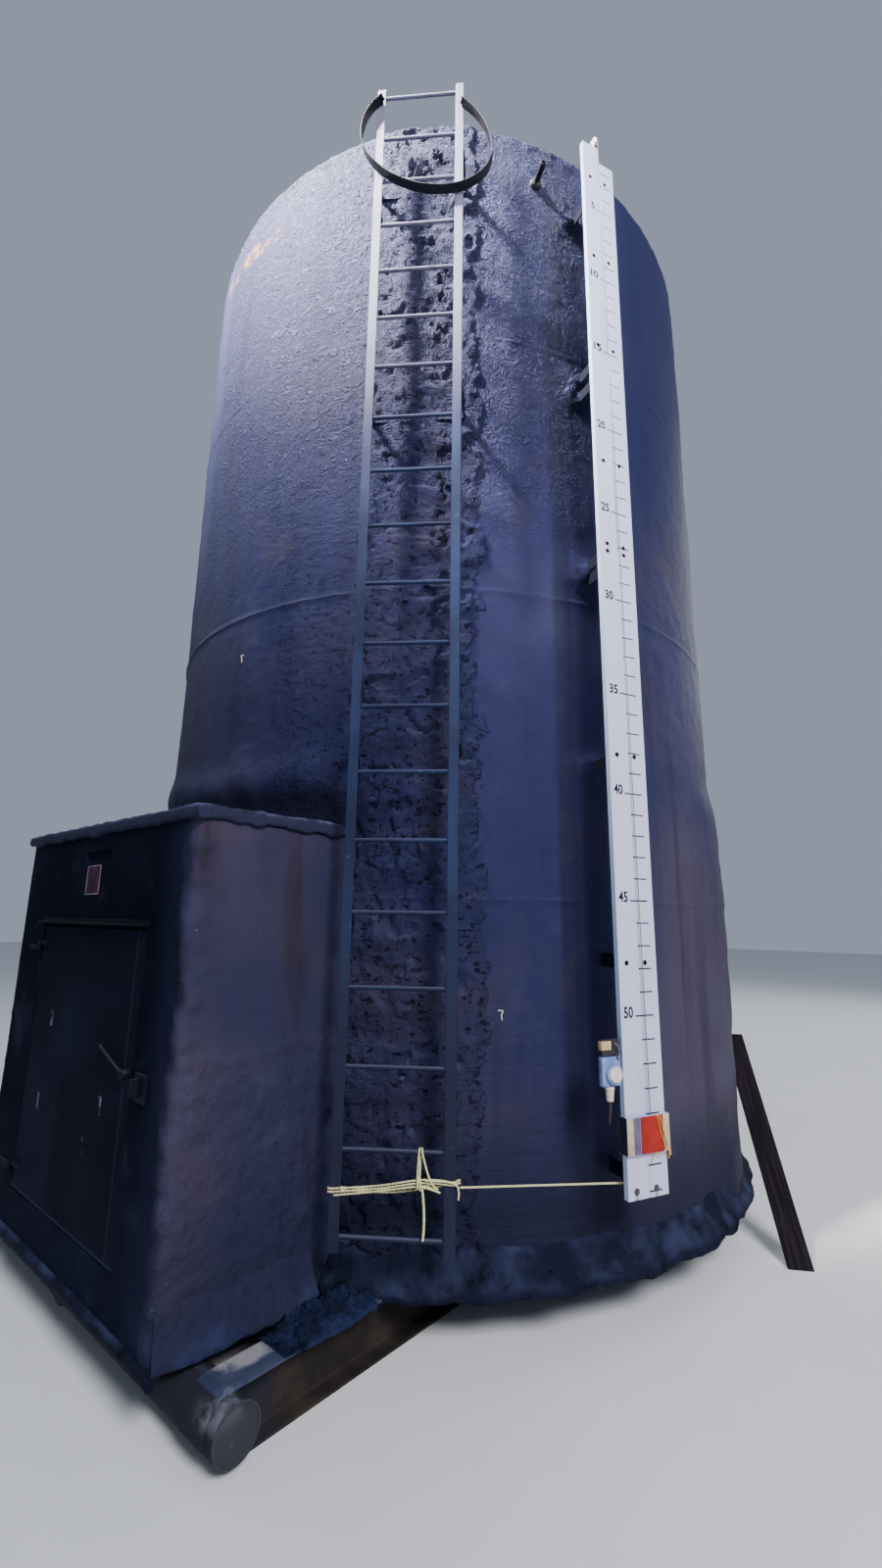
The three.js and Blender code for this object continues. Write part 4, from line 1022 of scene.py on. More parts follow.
def straight_lip(name, points, section, outward, finish, grown=None):
    """A lip along a straight run. section lists reach and height, outward is the way it flares, and
    grown(point) says what share of its reach the lip has there."""
    way = Vector(outward)
    rings = []
    for point in points:
        size = grown(point) if grown else 1.0
        border = 0.03 * lumps(Vector(point), 0.22, 4)
        ring = []
        for reach, z in section:
            wander = border * smooth(z, 0.09, 0.15) if z < 0.18 else 0.0
            reach = reach * size if reach > 0 else reach
            place = Vector(point) + way * reach + Vector((0, 0, z + wander))
            ring.append(crumble(place, way, min(1.0, max(0.0, reach) / 0.05) * 0.7))
        rings.append(ring)
    return Piece().loft(rings).done(name + "_foam", finish, replaces=[name], sharp=70)


SIDE_LIP = [(-0.004, 0.003), (0.040, 0.003), (0.082, 0.003), (0.090, 0.010), (0.086, 0.024), (0.070, 0.044)]
SIDE_LIP += [(0.050, 0.066), (0.032, 0.092), (0.018, 0.120), (0.008, 0.148), (-0.005, 0.170)]


def side_growth(point):
    """The lip starts thin at the front corner and soon almost reaches the beam, where only a thin dark gap
    shows."""
    return 0.10 + 0.74 * smooth(point[1], HOUSE_FRONT, HOUSE_FRONT + 0.15)


for side_name, edge_x, outward in (("left", HOUSE_LEFT, -1), ("right", HOUSE_RIGHT, 1)):
    run = [(edge_x, y, HOUSE_BASE) for y in spaced([HOUSE_FRONT + 0.004, -1.78], 0.012)]
    straight_lip("house_foot_lip_" + side_name, run, SIDE_LIP, (outward, 0, 0), HOUSE, side_growth)
print("two lips round the tank and two beside the house")

# %% Overspray and the skirt
SPILL_FRONT, SPILL_FULL, SPILL_BACK = -2.06, -1.90, -1.64


def foam_spill(name, side):
    """Crumbled overspray that lies on the beam's flange between the house and the tank, thin towards the
    front. It hangs a little over the flange's outer edge."""
    inner, across, edge = 0.975, 40, RUNNER_X[1]
    rings = []
    for y in spaced([SPILL_FRONT, SPILL_BACK], 0.007):
        full = smooth(y, SPILL_FRONT, SPILL_FULL)
        drop = 0.016 * full * (1 + 0.6 * lumps(Vector((edge, y, 0)), 0.08, 3))
        width = edge + 0.007 * full - inner
        ring = []
        for i in range(across + 1):
            share = i / across
            place = Vector((inner + width * share, y, 0.0))
            crown = math.sin(math.pi * min(1.0, 0.3 + 0.7 * share)) ** 0.6
            crumbs = 0.5 * lumps(place, 0.07, 3) + 0.9 * lumps(place + Vector((2, 0, 0)), 0.022, 3)
            rise = (0.003 + 0.026 * full) * crown * (1 + crumbs) + 0.006 * full * lumps(place, 0.012, 2)
            shift = 0.016 * lumps(place, 0.05, 3) * (1 - abs(2 * share - 1))
            ring.append(Vector((side * place.x, y + shift, SKID_TOP + 0.0005 + max(0.0015, rise))))
        foot = [(edge + 0.007 * full, -drop), (edge + 0.001, -drop), (edge + 0.001, 0.0005), (inner, 0.0005)]
        rings.append(ring + [Vector((side * x, y, SKID_TOP + z)) for x, z in foot])
    return Piece().loft(rings).done(name, CRUMBS, slot="lip_foam", sharp=70)


foam_spill("foam_spill_right", 1)
foam_spill("foam_spill_left", -1)

SKIRT_SECTION = [(-0.0185, 0.174), (0.006, 0.173), (0.014, 0.180), (0.020, 0.192), (0.023, 0.204)]
SKIRT_SECTION += [(0.018, 0.215), (0.010, 0.223), (0.0003, 0.228), (0.0003, 0.2035), (-0.0185, 0.2035)]
skirt_run = [(x, HOUSE_FRONT, 0.0) for x in spaced([HOUSE_LEFT - 0.008, HOUSE_RIGHT + 0.008], 0.012)]
straight_lip("house_skirt", skirt_run, SKIRT_SECTION, (0, -1, 0), LIP)
print("overspray on both flanges, and a skirt in front of the house")

# %% [markdown]
# ## Painted steel
# The skid, the ladder and the brackets are mill steel under old paint. Three things make such paint
# believable: a slow change of tone, dirt that gathers in streaks, and chips whose bare spots are rougher
# than the paint. One function makes every such finish from its two main colours.


# %% Steel finishes
def steel_finish(name, light, dark, chip, chips, metallic=0.25, high=None, low=None, specular=0.2):
    """Old paint on steel. high is a colour painted in as light towards the top of the tank, low one painted
    in as shade near the ground."""
    finish = Finish(name, metallic=metallic, specular=specular)
    wide = finish.noise(2.2, 4, 0.55)
    streak = finish.noise(14, 4, 0.55, stretch=(1, 1, 0.15))
    grain = finish.noise(160, 5, 0.65)
    spots = finish.rise(finish.noise(38, 7, 0.72), 0.66 - 0.1 * chips, 0.7 - 0.1 * chips)
    finish.colour = finish.mix(finish.rise(wide, 0.35, 0.68), dark, light)
    # Painted light towards the top, and painted shade near the ground.
    if high:
        finish.coat(finish.rise(finish.z, 3.9, 4.9), high)
    if low:
        finish.coat(finish.rise(finish.z, 2.4, 1.0) * 0.75, low)
    finish.coat(finish.rise(streak, 0.55, 0.72) * 0.4, dark)
    finish.coat(spots * 0.8, chip)
    # Upward faces take the chip colour: dust, and painted sky light.
    finish.coat(finish.facing_up() * 0.6, chip)
    height = grain * 0.3 + (1.0 - spots)
    return finish.paint(0.42 + 0.25 * grain + 0.15 * spots, height, 0.0006)


def skid_finish():
    """Blue-grey flange tops worn to a pale patch, and brown dust on every face that looks sideways."""
    finish = Finish("skid_paint", specular=0.08)
    wide = finish.noise(4.0, 5, 0.6)
    patch = finish.noise(7.0, 6, 0.62)
    grain = finish.noise(140, 6, 0.7)
    high = finish.rise(finish.z, SKID_TOP - 0.012, SKID_TOP - 0.006)
    near_front = finish.rise(finish.y, -1.98, -2.12)
    side = finish.mix(finish.rise(wide, 0.35, 0.65), srgb(34, 30, 30), srgb(56, 48, 43))
    top = finish.mix(finish.rise(wide, 0.4, 0.65), srgb(40, 45, 68), srgb(60, 65, 88))
    side = finish.mix(near_front * 0.75, side, srgb(33, 35, 47))
    end_plate = finish.rise(abs(finish.x), 1.172, 1.178)
    side = finish.mix(end_plate * (0.3 + 0.6 * patch), side, srgb(62, 62, 67))
    finish.colour = finish.mix(high, side, top)
    along, across = finish.y + 0.16 * (patch - 0.5), abs(finish.x) + 0.12 * (wide - 0.5)
    worn = finish.window(along, -2.22, -2.07, 0.04) * finish.window(across, 0.96, 1.055, 0.03)
    worn = worn * finish.rise(patch + 0.3 * grain, 0.42, 0.66)
    finish.coat(worn * high * 0.62, srgb(162, 158, 162))
    over_pipe = finish.window(finish.y, -2.36, -2.22, 0.02) * finish.rise(abs(finish.x), 1.04, 1.12)
    over_pipe = over_pipe * finish.rise(finish.z, 0.12, 0.17) * finish.rise(patch, 0.44, 0.56)
    finish.coat(over_pipe * (1 - end_plate) * 0.4, srgb(134, 138, 150))
    scrape = finish.rise(finish.noise(26, 6, 0.7), 0.66, 0.74)
    finish.coat(scrape * near_front * 0.5, srgb(140, 142, 150))
    finish.coat(finish.rise(grain, 0.62, 0.72) * 0.4, srgb(44, 34, 30))
    return finish.paint(0.6 + 0.25 * grain, grain * 0.4 + patch, 0.0012)


# Each has its light, its dark and its chips' colour, then how many chips it has and how metallic it is.
ladder_tones = (srgb(42, 52, 86), srgb(28, 35, 60), srgb(84, 88, 112))
# The ladder is painted lighter at its top and darker near the ground: painted light and shade.
ladder_lit_top_shaded_foot = {"high": srgb(112, 109, 131), "low": srgb(28, 31, 47)}
LADDER_PAINT = steel_finish("ladder_paint", *ladder_tones, 0.3, **ladder_lit_top_shaded_foot)
HOOP_PAINT = steel_finish("hoop_paint", srgb(36, 36, 44), srgb(20, 20, 26), srgb(96, 94, 100), 0.3)
dark_tones = (srgb(20, 22, 33), srgb(12, 13, 20), srgb(54, 56, 70))
DARK_STEEL = steel_finish("dark_steel", *dark_tones, 0.3, 0.0, specular=0.04)
BARE_STEEL = steel_finish("bare_steel", srgb(104, 98, 112), srgb(62, 56, 66), srgb(84, 60, 50), 0.6, 0.3)
WIRE_STEEL = steel_finish("wire_steel", srgb(122, 124, 152), srgb(84, 86, 112), srgb(70, 60, 64), 0.4, 0.3)
bright_tones = (srgb(176, 168, 158), srgb(120, 114, 108), srgb(86, 62, 46))
BRIGHT_STEEL = steel_finish("bright_steel", *bright_tones, 0.5, 0.7)
SKID_PAINT = skid_finish()
print("steel finishes:", LADDER_PAINT.name, HOOP_PAINT.name, DARK_STEEL.name, SKID_PAINT.name)

# %% [markdown]
# ## Keeping a solid
# Where the frame's solid already has the right shape, only two things are missing: a finish and soft edges.
# A bevel modifier gives the edges without touching the solid's own points.


# %% Finish for kept solids
def keep(names, finish, bevel=0.0012):
    """Gives solids of the frame a finish and a small rounding on their edges."""
    for name in names:
        thing = NODES[name]
        thing.data.materials.clear()
        thing.data.materials.append(finish)
        edge = thing.modifiers.new("soft_edges", "BEVEL")
        edge.width = bevel
        edge.segments = 2
        edge.limit_method = "ANGLE"
        edge.angle_limit = math.radians(40)
    print("kept", len(names), "with", finish.name)


keep(["cross_member_" + place for place in ("front", "middle", "rear")], SKID_PAINT)
keep(["tank_bottom", "house_floor"], SKID_PAINT)
keep(["ladder_bracket_%d" % i for i in (1, 2, 3, 4)], COATING)
keep(["hinge_top", "hinge_bottom", "door_keeper", "drip_cap"], DARK_STEEL)
keep(["cleanout_neck", "cleanout_cover"], COATING, 0.004)

# %% [markdown]
# ## The skid
# Two rolled beams carry the tank. A rolled beam has fillets where its web meets its flanges, so its section
# is drawn with them and swept once along the beam. At each end a six-inch pipe crosses under the flanges,
# whose ends are bent down over it and welded.

# %% Runners
PIPE_RADIUS = 0.084
PIPE_Z = SKID_TOP - 0.010 - 0.0003 - PIPE_RADIUS * math.cos(math.radians(7.5))
PIPE_HALF = 1.18
PIPE_Y = {"front": -2.26, "rear": 2.11}
FLANGE = {"half": 0.0675, "thick": 0.010, "web": 0.004}


def beam_section():
    """Half outlines of the rolled section, mirrored: flanges, root fillets and web."""
    fillet = 0.012
    half, thick, web = FLANGE["half"], FLANGE["thick"], FLANGE["web"]
    arc = [math.radians(a) for a in (0, 30, 60, 90)]
    lower = [(half, 0.001), (half, thick - 0.001), (half - 0.001, thick)]
    lower += [(web + fillet * (1 - math.sin(a)), thick + fillet * (1 - math.cos(a))) for a in arc]
    upper = [(x, SKID_TOP - z) for x, z in reversed(lower)]
    right = [(half - 0.001, 0.0), *lower, *upper, (half - 0.001, SKID_TOP)]
    left = [(-x, z) for x, z in reversed(right)]
    return right + left


def saddle(y, outward, middle):
    """The end of the upper flange, bent over the pipe down to a little below its middle."""
    inner = PIPE_RADIUS + 0.0005
    rings = []
    for degrees in spaced([-15.0, 90.0], 5.0):
        turn = math.radians(degrees)
        ring = []
        outer = SKID_TOP - PIPE_Z - 0.001 * math.cos(turn)
        for radius, across in ((inner, -1), (outer, -1), (outer, 1), (inner, 1)):
            x = middle + across * FLANGE["half"]
            ring.append(Vector((x, y + outward * radius * math.cos(turn), PIPE_Z + radius * math.sin(turn))))
        rings.append(ring)
    return rings


def runner(name, middle):
    piece = Piece()
    section = beam_section()
    stations = spaced([PIPE_Y["front"], PIPE_Y["rear"]], 0.25)
    piece.loft([[Vector((middle + x, y, z)) for x, z in section] for y in stations])
    piece.loft(saddle(PIPE_Y["front"], -1, middle))
    piece.loft(saddle(PIPE_Y["rear"], 1, middle))
    return piece.done(name + "_beam", SKID_PAINT, replaces=[name], sharp=30)


beam_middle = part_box("skid_runner_right")[1].x - FLANGE["half"]
runner("skid_runner_right", beam_middle)
runner("skid_runner_left", -beam_middle)
print("beams", round(2 * beam_middle, 3), "m apart")


# %% Pull pipes with their end plates and welds
def weld(piece, centre, radius, axis, thick, count=96):
    """A bead of weld round a circle: a closed tube whose radius ripples."""
    turn = Vector(axis).to_track_quat("Z", "Y")
    rings = []
    for i in range(count):
        a = 2 * math.pi * i / count
        way = turn @ Vector((math.cos(a), math.sin(a), 0))
        along = turn @ Vector((0, 0, 1))
        size = thick * (0.8 + 0.25 * math.sin(a * 40) + 0.2 * lumps(way, 0.15, 2))
        middle = Vector(centre) + way * radius
        turns = [math.pi * k / 4 for k in range(8)]
        rings.append([middle + (way * math.cos(b) + along * math.sin(b)) * size for b in turns])
    piece.loft(rings, closed=True)


def pull_pipe(place, y):
    rim, plate, recess = PIPE_RADIUS, 0.077, 0.004
    length = 2 * PIPE_HALF
    near = [(plate - 0.005, recess), (plate, recess), (plate, 0), (rim - 0.002, 0), (rim, 0.002)]
    far = [(radius, length - along) for radius, along in reversed(near)]
    foot = Vector((-PIPE_HALF, y, PIPE_Z))
    piece = Piece().lathe(foot, (1, 0, 0), near + far, 64)
    for end in (-1, 1):
        weld(piece, (end * (PIPE_HALF - recess), y, PIPE_Z), plate - 0.001, (1, 0, 0), 0.003)
    return piece.done("pull_pipe_" + place + "_tube", SKID_PAINT, replaces=["pull_pipe_" + place], sharp=30)


for pipe_place, pipe_y in PIPE_Y.items():
    pull_pipe(pipe_place, pipe_y)
print("pull pipes", 2 * PIPE_HALF, "m long")

# %% [markdown]
# ## Ladder and hoop
# The ladder is two angle-iron rails with round bars welded between them. Each section is one mesh: two swept
# angles, its rungs, and a small bead of weld where a bar meets a rail. The hoop is a flat bar bent to a
# skewed ring that hangs in front of the rails, and it narrows where the bender took it round more tightly.

# %% Ladder
RUNG_PITCH = 0.3048
LOWEST_RUNG = 0.452
RUNG_COUNT = 20
RUNG_OUT = 2.058
RUNG_RADIUS = 0.0095
RAIL_INNER, RAIL_OUTER, RAIL_THICK = 0.200, 0.245, 0.006
RAIL_FRONT = RUNG_OUT + RUNG_RADIUS + RAIL_THICK - 0.001
RAIL_BACK = RUNG_OUT - 0.030


def rail_section(side):
    """The angle's outline, with its free edges and its heel rounded."""
    front, back, inner, outer, thick = RAIL_FRONT, RAIL_BACK, RAIL_INNER, RAIL_OUTER, RAIL_THICK
    soft, fillet = 0.0015, 0.003
    outline = [(front - soft, inner), (front, inner + soft), (front, outer - soft), (front - soft, outer)]
    outline += [(back + soft, outer), (back, outer - soft), (back, outer - thick + soft)]
    outline += [(back + soft, outer - thick), (front - thick - fillet, outer - thick)]
    outline += [(front - thick, outer - thick - fillet), (front - thick, inner + soft)]
    outline += [(front - thick + soft, inner)]
    return [(out, side * across) for out, across in outline]


def ladder_section(name):
    low, high = (corner.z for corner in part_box(name))
    piece = Piece(LADDER)
    for side in (-1, 1):
        section = rail_section(side)
        piece.loft([[Vector((out, across, z)) for out, across in section] for z in spaced([low, high], 0.5)])
    for i in range(RUNG_COUNT):
        z = LOWEST_RUNG + i * RUNG_PITCH
        if not low < z < high:
            continue
        end = RAIL_OUTER - 0.001
        bend = 0.002 * lumps((i * 1.7, 0.4, 2.1), 1.0, 1)
        shares = [k / 12 for k in range(13)]
        route = [(RUNG_OUT, -end + 2 * end * s, z + bend * math.sin(math.pi * s)) for s in shares]
        piece.tube(route, RUNG_RADIUS, 16)
        for side in (-1, 1):
            foot = (RUNG_OUT, side * (RAIL_OUTER - RAIL_THICK - 0.001), z)
            weld(piece, foot, RUNG_RADIUS + 0.001, (0, 1, 0), 0.0028, 24)
    return piece.done(name + "_bars", LADDER_PAINT, replaces=[name], sharp=35)


for ladder_name in ("ladder_lower", "ladder_upper"):
    print(ladder_section(ladder_name).name, "made")

# %% Hoop
HOOP = {"across": 0.040, "up": 5.826, "half": 0.363, "skew": -0.101, "lower": 0.316, "upper": 0.400}
HOOP_BAND = {"width": 0.050, "thick": 0.006}
HOOP_FROM, HOOP_TO = 57.0, -226.0
HOOP_BOLTS = (HOOP_FROM + 6, HOOP_TO - 6, -38.0)


def hoop_place(degrees):
    turn = math.radians(degrees)
    tall = HOOP["upper"] if math.sin(turn) > 0 else HOOP["lower"]
    across = HOOP["across"] + HOOP["half"] * math.cos(turn)
    return Vector((0, across, HOOP["up"] + HOOP["skew"] * math.cos(turn) + tall * math.sin(turn)))


def hoop_normal(degrees):
    """The way across the band's thickness, square to its run."""
    along = (hoop_place(degrees - 0.5) - hoop_place(degrees + 0.5)).normalized()
    return Vector((0, -along.z, along.y))


def hoop():
    front = RAIL_FRONT + 0.0003
    half, soft = HOOP_BAND["thick"] / 2, 0.001
    wide = HOOP_BAND["width"]
    outline = [(soft, half), (wide - soft, half), (wide, half - soft), (wide, soft - half)]
    outline += [(wide - soft, -half), (soft, -half), (0.0, soft - half), (0.0, half - soft)]
    rings = []
    for degrees in reversed(spaced([HOOP_TO, HOOP_FROM], 2.5)):
        place, normal = hoop_place(degrees), hoop_normal(degrees)
        rings.append([place + Vector((front + out, 0, 0)) + normal * off for out, off in outline])
    piece = Piece(LADDER).loft(rings)
    for degrees in HOOP_BOLTS:
        place = hoop_place(max(HOOP_TO, min(HOOP_FROM, degrees)))
        normal = hoop_normal(degrees)
        for way in (-1, 1):
            foot = place + Vector((front + wide / 2, 0, 0)) + normal * way * half
            piece.bolt(foot, normal * way, 0.009, 0.006)
    return piece.done("ladder_hoop_band", HOOP_PAINT, replaces=["ladder_hoop"], sharp=30)


print(hoop().name, "made")

# %% Stub near the rim
STUB = {"angle": -33.2, "height": 5.950, "radius": 0.017, "root": SHELL - 0.02, "tip": 2.008, "bore": 0.012}
STUB_FOOT = (STUB["root"], 0, STUB["height"])
stub_frame = turned_to(STUB["angle"])
stub_length = STUB["tip"] - STUB["root"]
radius, bore = STUB["radius"], STUB["bore"]
stub_profile = [(radius, 0.0), (radius, stub_length - 0.002), (radius - 0.0015, stub_length)]
stub_profile += [(bore, stub_length), (bore, stub_length - 0.04)]
stub = Piece(stub_frame).lathe(STUB_FOOT, (1, 0, 0), stub_profile, 32)
stub.done("rim_stub_pipe", HOOP_PAINT, replaces=["rim_stub"])
collar_profile = [(0.034, 0.0), (0.036, 0.030), (0.030, 0.044), (0.021, 0.050), (0.0175, 0.051)]
collar = Piece(stub_frame).lathe(STUB_FOOT, (1, 0, 0), collar_profile, 32)
collar.done("rim_stub_collar", RUBBER, slot="black_plastic")
print("stub reaches", STUB["tip"], "m from the axis")

# %% [markdown]
# ## The gauge board
# The board is two long strips side by side, painted white, with a scale that runs downwards: a float inside
# hangs on the cable, so the target sinks as the tank fills. The strips are right in the frame, so they are
# kept. The ticks and numbers are plates a quarter of a millimetre thick, which the carriage's shoes clear.

# %% Board finish
BOARD_FRONT = 2.140
BOARD_LEFT = -0.148
BOARD_BACK = 2.115
SCALE_TOP = 6.020
SCALE_STEP = 0.0952
SCALE_COUNT = 57
NUMBERED = 5
INK_THICK = 0.00025
BOLT_ACROSS = (-0.105, -0.005)


def board_finish():
    finish = Finish("board_paint", specular=0.05)
    out = finish.outwards(GAUGE)
    across = finish.across(GAUGE)
    wide = finish.noise(1.5, 3)
    streak = finish.noise(10, 5, 0.6, stretch=(1, 1, 0.08))
    grain = finish.noise(220, 4, 0.6)
    finish.colour = finish.mix(wide, srgb(186, 190, 224), srgb(202, 205, 234))
    low = finish.rise(finish.z, 4.6, 2.6)
    finish.coat(low * 0.7, srgb(188, 186, 206))
    finish.coat(finish.rise(streak, 0.56, 0.75) * 0.35, srgb(168, 168, 182))
    # The board's left side face is painted pale blue: painted sky light.
    edge = finish.rise(across, BOARD_LEFT + 0.001, BOARD_LEFT)
    edge = edge * finish.rise(out, BOARD_FRONT - 0.0007, BOARD_FRONT - 0.002)
    finish.coat(edge * 0.8, srgb(172, 196, 222))
    back = finish.rise(out, BOARD_BACK - 0.0005, BOARD_BACK - 0.0015)
    finish.coat(back, srgb(20, 22, 32))
    for across_bolt in BOLT_ACROSS:
        drip = finish.window(across + 0.004 * (streak - 0.5), across_bolt - 0.006, across_bolt + 0.006, 0.004)
        drip = drip * finish.window(finish.z, 0.572, 0.600, 0.012)
        drip = drip * finish.rise(out, BOARD_FRONT - 0.002, BOARD_FRONT - 0.0007)
        finish.coat(drip * 0.6, srgb(92, 84, 96))
    slanting = across + 0.115 - (1.118 - finish.z) * 0.45
    long_scratch = finish.window(slanting, -0.0008, 0.0008, 0.0012)
    long_scratch = long_scratch * finish.window(finish.z, 0.93, 1.10, 0.02)
    finish.coat(long_scratch * 0.4, srgb(112, 108, 122))
    scratch = finish.rise(finish.noise(60, 2, 0.5, stretch=(1, 1, 6)), 0.74, 0.78)
    speck = finish.rise(finish.cells(30), 0.09, 0.05) * finish.rise(finish.noise(4.0), 0.6, 0.66)
    finish.coat(speck * 0.7 + scratch * 0.3, srgb(70, 66, 72))
    return finish.paint(0.38 + 0.2 * grain, grain, 0.0004)


def ink_finish():
    finish = Finish("scale_ink", specular=0.1)
    worn = finish.rise(finish.noise(90, 5, 0.6), 0.62, 0.72)
    finish.colour = finish.mix(worn * 0.5, srgb(18, 17, 34), srgb(84, 84, 104))
    return finish.paint(0.5 + 0.2 * worn, worn, 0.0001)


BOARD = board_finish()
INK = ink_finish()
BOARD_NODES = ["gauge_board_" + part for part in ("lower", "middle", "upper")]
keep(BOARD_NODES, BOARD, 0.0015)

# %% Joint strip
JOINT = (-0.0446, -0.0354)
JOINT_TOP = 5.88


def joint_strip():
    """Filler between the two strips of the board, painted over with them, so that only a hairline shows."""
    piece = Piece(GAUGE)
    for name in BOARD_NODES:
        low, high = (corner.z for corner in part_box(name))
        high = min(high, JOINT_TOP)
        piece.block((BOARD_FRONT - 0.0075, BOARD_FRONT - 0.0003), JOINT, (low + 0.001, high - 0.001), 0.0003)
    return piece.done("board_joint_strip", BOARD, slot="board_paint")


print(joint_strip().name, "made")


# %% Ticks and bolts
def scale_height(value):
    return SCALE_TOP - SCALE_STEP * value


def flat_mark(piece, left, right, z, thick):
    face = (BOARD_FRONT, BOARD_FRONT + INK_THICK)
    piece.block(face, (left, right), (z - thick / 2, z + thick / 2), bevel=0)


def scale_ticks():
    """Every fifth tick reaches further left, and the last one is a little apart from the rest."""
    piece = Piece(GAUGE)
    for value in range(2, SCALE_COUNT + 1):
        left, right, thick = -0.041, 0.028, 0.0055
        if value == SCALE_COUNT:
            left, right, thick = -0.040, 0.025, 0.0058
        elif value % NUMBERED == 0:
            left, right, thick = -0.071, 0.026, 0.0058
        flat_mark(piece, left, right, scale_height(value), thick)
    return piece.done("scale_ticks", INK, slot="dark_steel")


BOLT_HEIGHTS = [5.76, 5.205, 4.62, 3.92, 3.455, 3.415, 2.388, 1.475]
LOWEST_BOLTS = 0.602


def board_bolts():
    """Low round heads. The lowest two sit on wider washers and have lost their paint."""
    dark, bare = Piece(GAUGE), Piece(GAUGE)
    profile = [(0.0105, 0), (0.0105, 0.0014), (0.008, 0.0028), (0.004, 0.0034)]
    washer = [(0.0135, 0), (0.0135, 0.001), (0.009, 0.0012), (0.009, 0.003), (0.006, 0.0036)]
    for across in BOLT_ACROSS:
        for z in BOLT_HEIGHTS:
            dark.lathe((BOARD_FRONT, across, z), (1, 0, 0), profile, 20)
        bare.lathe((BOARD_FRONT, across, LOWEST_BOLTS), (1, 0, 0), washer, 24)
    dark.done("board_bolts", DARK_STEEL, slot="dark_steel", sharp=50)
    bare.done("board_foot_bolts", BARE_STEEL, slot="dark_steel", sharp=50)


scale_ticks()
board_bolts()
print(SCALE_COUNT - 1, "ticks and", 2 * len(BOLT_HEIGHTS) + 2, "bolts")


# %% Numbers
def digits_mesh(text):
    """The built-in font's outline of a number as a thin plate, brought back as a mesh."""
    curve = bpy.data.curves.new("digits", "FONT")
    curve.body = text
    curve.extrude = 1.0
    curve.resolution_u = 3
    curve.offset = 0.025
    carrier = bpy.data.objects.new("digits", curve)
    bpy.context.scene.collection.objects.link(carrier)
    shaped = bpy.data.meshes.new_from_object(carrier.evaluated_get(bpy.context.evaluated_depsgraph_get()))
    bpy.data.objects.remove(carrier)
    return shaped


def scale_numbers():
    """Numbers at every fifth tick, condensed to the board's own size: left, width a digit, and height."""
    left, digit_width, tall, lift = -0.131, 0.0245, 0.047, 0.016
    piece = Piece(GAUGE)
    for value in range(NUMBERED, SCALE_COUNT - NUMBERED, NUMBERED):
        shaped = digits_mesh(str(value))
        low = Vector(map(min, zip(*(v.co for v in shaped.vertices))))
        high = Vector(map(max, zip(*(v.co for v in shaped.vertices))))
        size = high - low
        wide = digit_width * len(str(value))
        base = scale_height(value) + lift - tall / 2
        start = len(piece.bm.verts)
        piece.bm.from_mesh(shaped)
        piece.bm.verts.ensure_lookup_table()
        for vertex in piece.bm.verts[start:]:
            share = Vector(((vertex.co[i] - low[i]) / size[i] for i in range(3)))
            shift = left + digit_width * (2 - len(str(value)))
            vertex.co = (BOARD_FRONT + INK_THICK * share.z, shift + wide * share.x, base + tall * share.y)
        bpy.data.meshes.remove(shaped)
    return piece.done("scale_numbers", INK, slot="dark_steel")


print(scale_numbers().name, "made")

# %% [markdown]
# ## The target carriage
# A bent plate wraps the board's edges and slides on it. Its face carries strips of different make: a pale
# edge strip, a grey-violet one, a bare orange-red plate and another pale strip. A yellow string is tied
# across it. Everything here rides on the target's own body, so it climbs the board with it.


# %% Carriage finishes
def plate_finish(name, light, dark, rough=0.45, dirt=0.35, specular=0.25):
    finish = Finish(name, specular=specular)
    wide = finish.noise(14, 4, 0.6)
    streak = finish.noise(60, 4, 0.6, stretch=(1, 1, 0.15))
    grain = finish.noise(300, 4, 0.6)
    finish.colour = finish.mix(finish.rise(wide, 0.35, 0.68), dark, light)
    finish.coat(finish.rise(streak, 0.55, 0.75) * dirt, tuple(c * 0.35 for c in dark))
    return finish.paint(rough + 0.2 * grain, grain + wide, 0.0004)


def carriage_finish():
    """Lavender on the top and front, and black on the sides as painted shade."""
    finish = Finish("carriage_paint", specular=0.5)
    across = finish.across(GAUGE)
    side = finish.rise(across, -0.1535, -0.1545) * finish.rise(finish.outwards(GAUGE), 2.1568, 2.156)
    wide = finish.noise(20, 4, 0.6)
    grain = finish.noise(280, 4, 0.6)
    finish.colour = finish.mix(wide, srgb(176, 178, 220), srgb(150, 152, 196))
    # The sides are painted black: painted shade.
    finish.coat(side, srgb(24, 24, 30))
    return finish.paint(0.45 + 0.2 * grain, grain, 0.0003)


TARGET_RED = plate_finish("target_red", srgb(160, 34, 24), srgb(136, 26, 20), dirt=0.2)
TAN_STRIP = plate_finish("tan_strip", srgb(200, 180, 154), srgb(172, 148, 122))
VIOLET_STRIP = plate_finish("violet_strip", srgb(108, 100, 124), srgb(88, 82, 104))
STRING = plate_finish("string_yellow", srgb(226, 168, 70), srgb(206, 178, 116), 0.7)
keep(["gauge_target"], carriage_finish(), 0.0006)

# %% Carriage plates and string
TARGET_FACE = 2.157
TARGET_LOW, TARGET_HIGH = (corner.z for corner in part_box("gauge_target"))


def target_plate(name, finish, left, right, thick, slot):
    depth = (TARGET_FACE, TARGET_FACE + thick)
    height = (TARGET_LOW + 0.0015, TARGET_HIGH - 0.0015)
    plate = Piece(GAUGE).block(depth, (left, right), height, 0.0005)
    plate.done(name, finish, body="gauge_target", slot=slot)


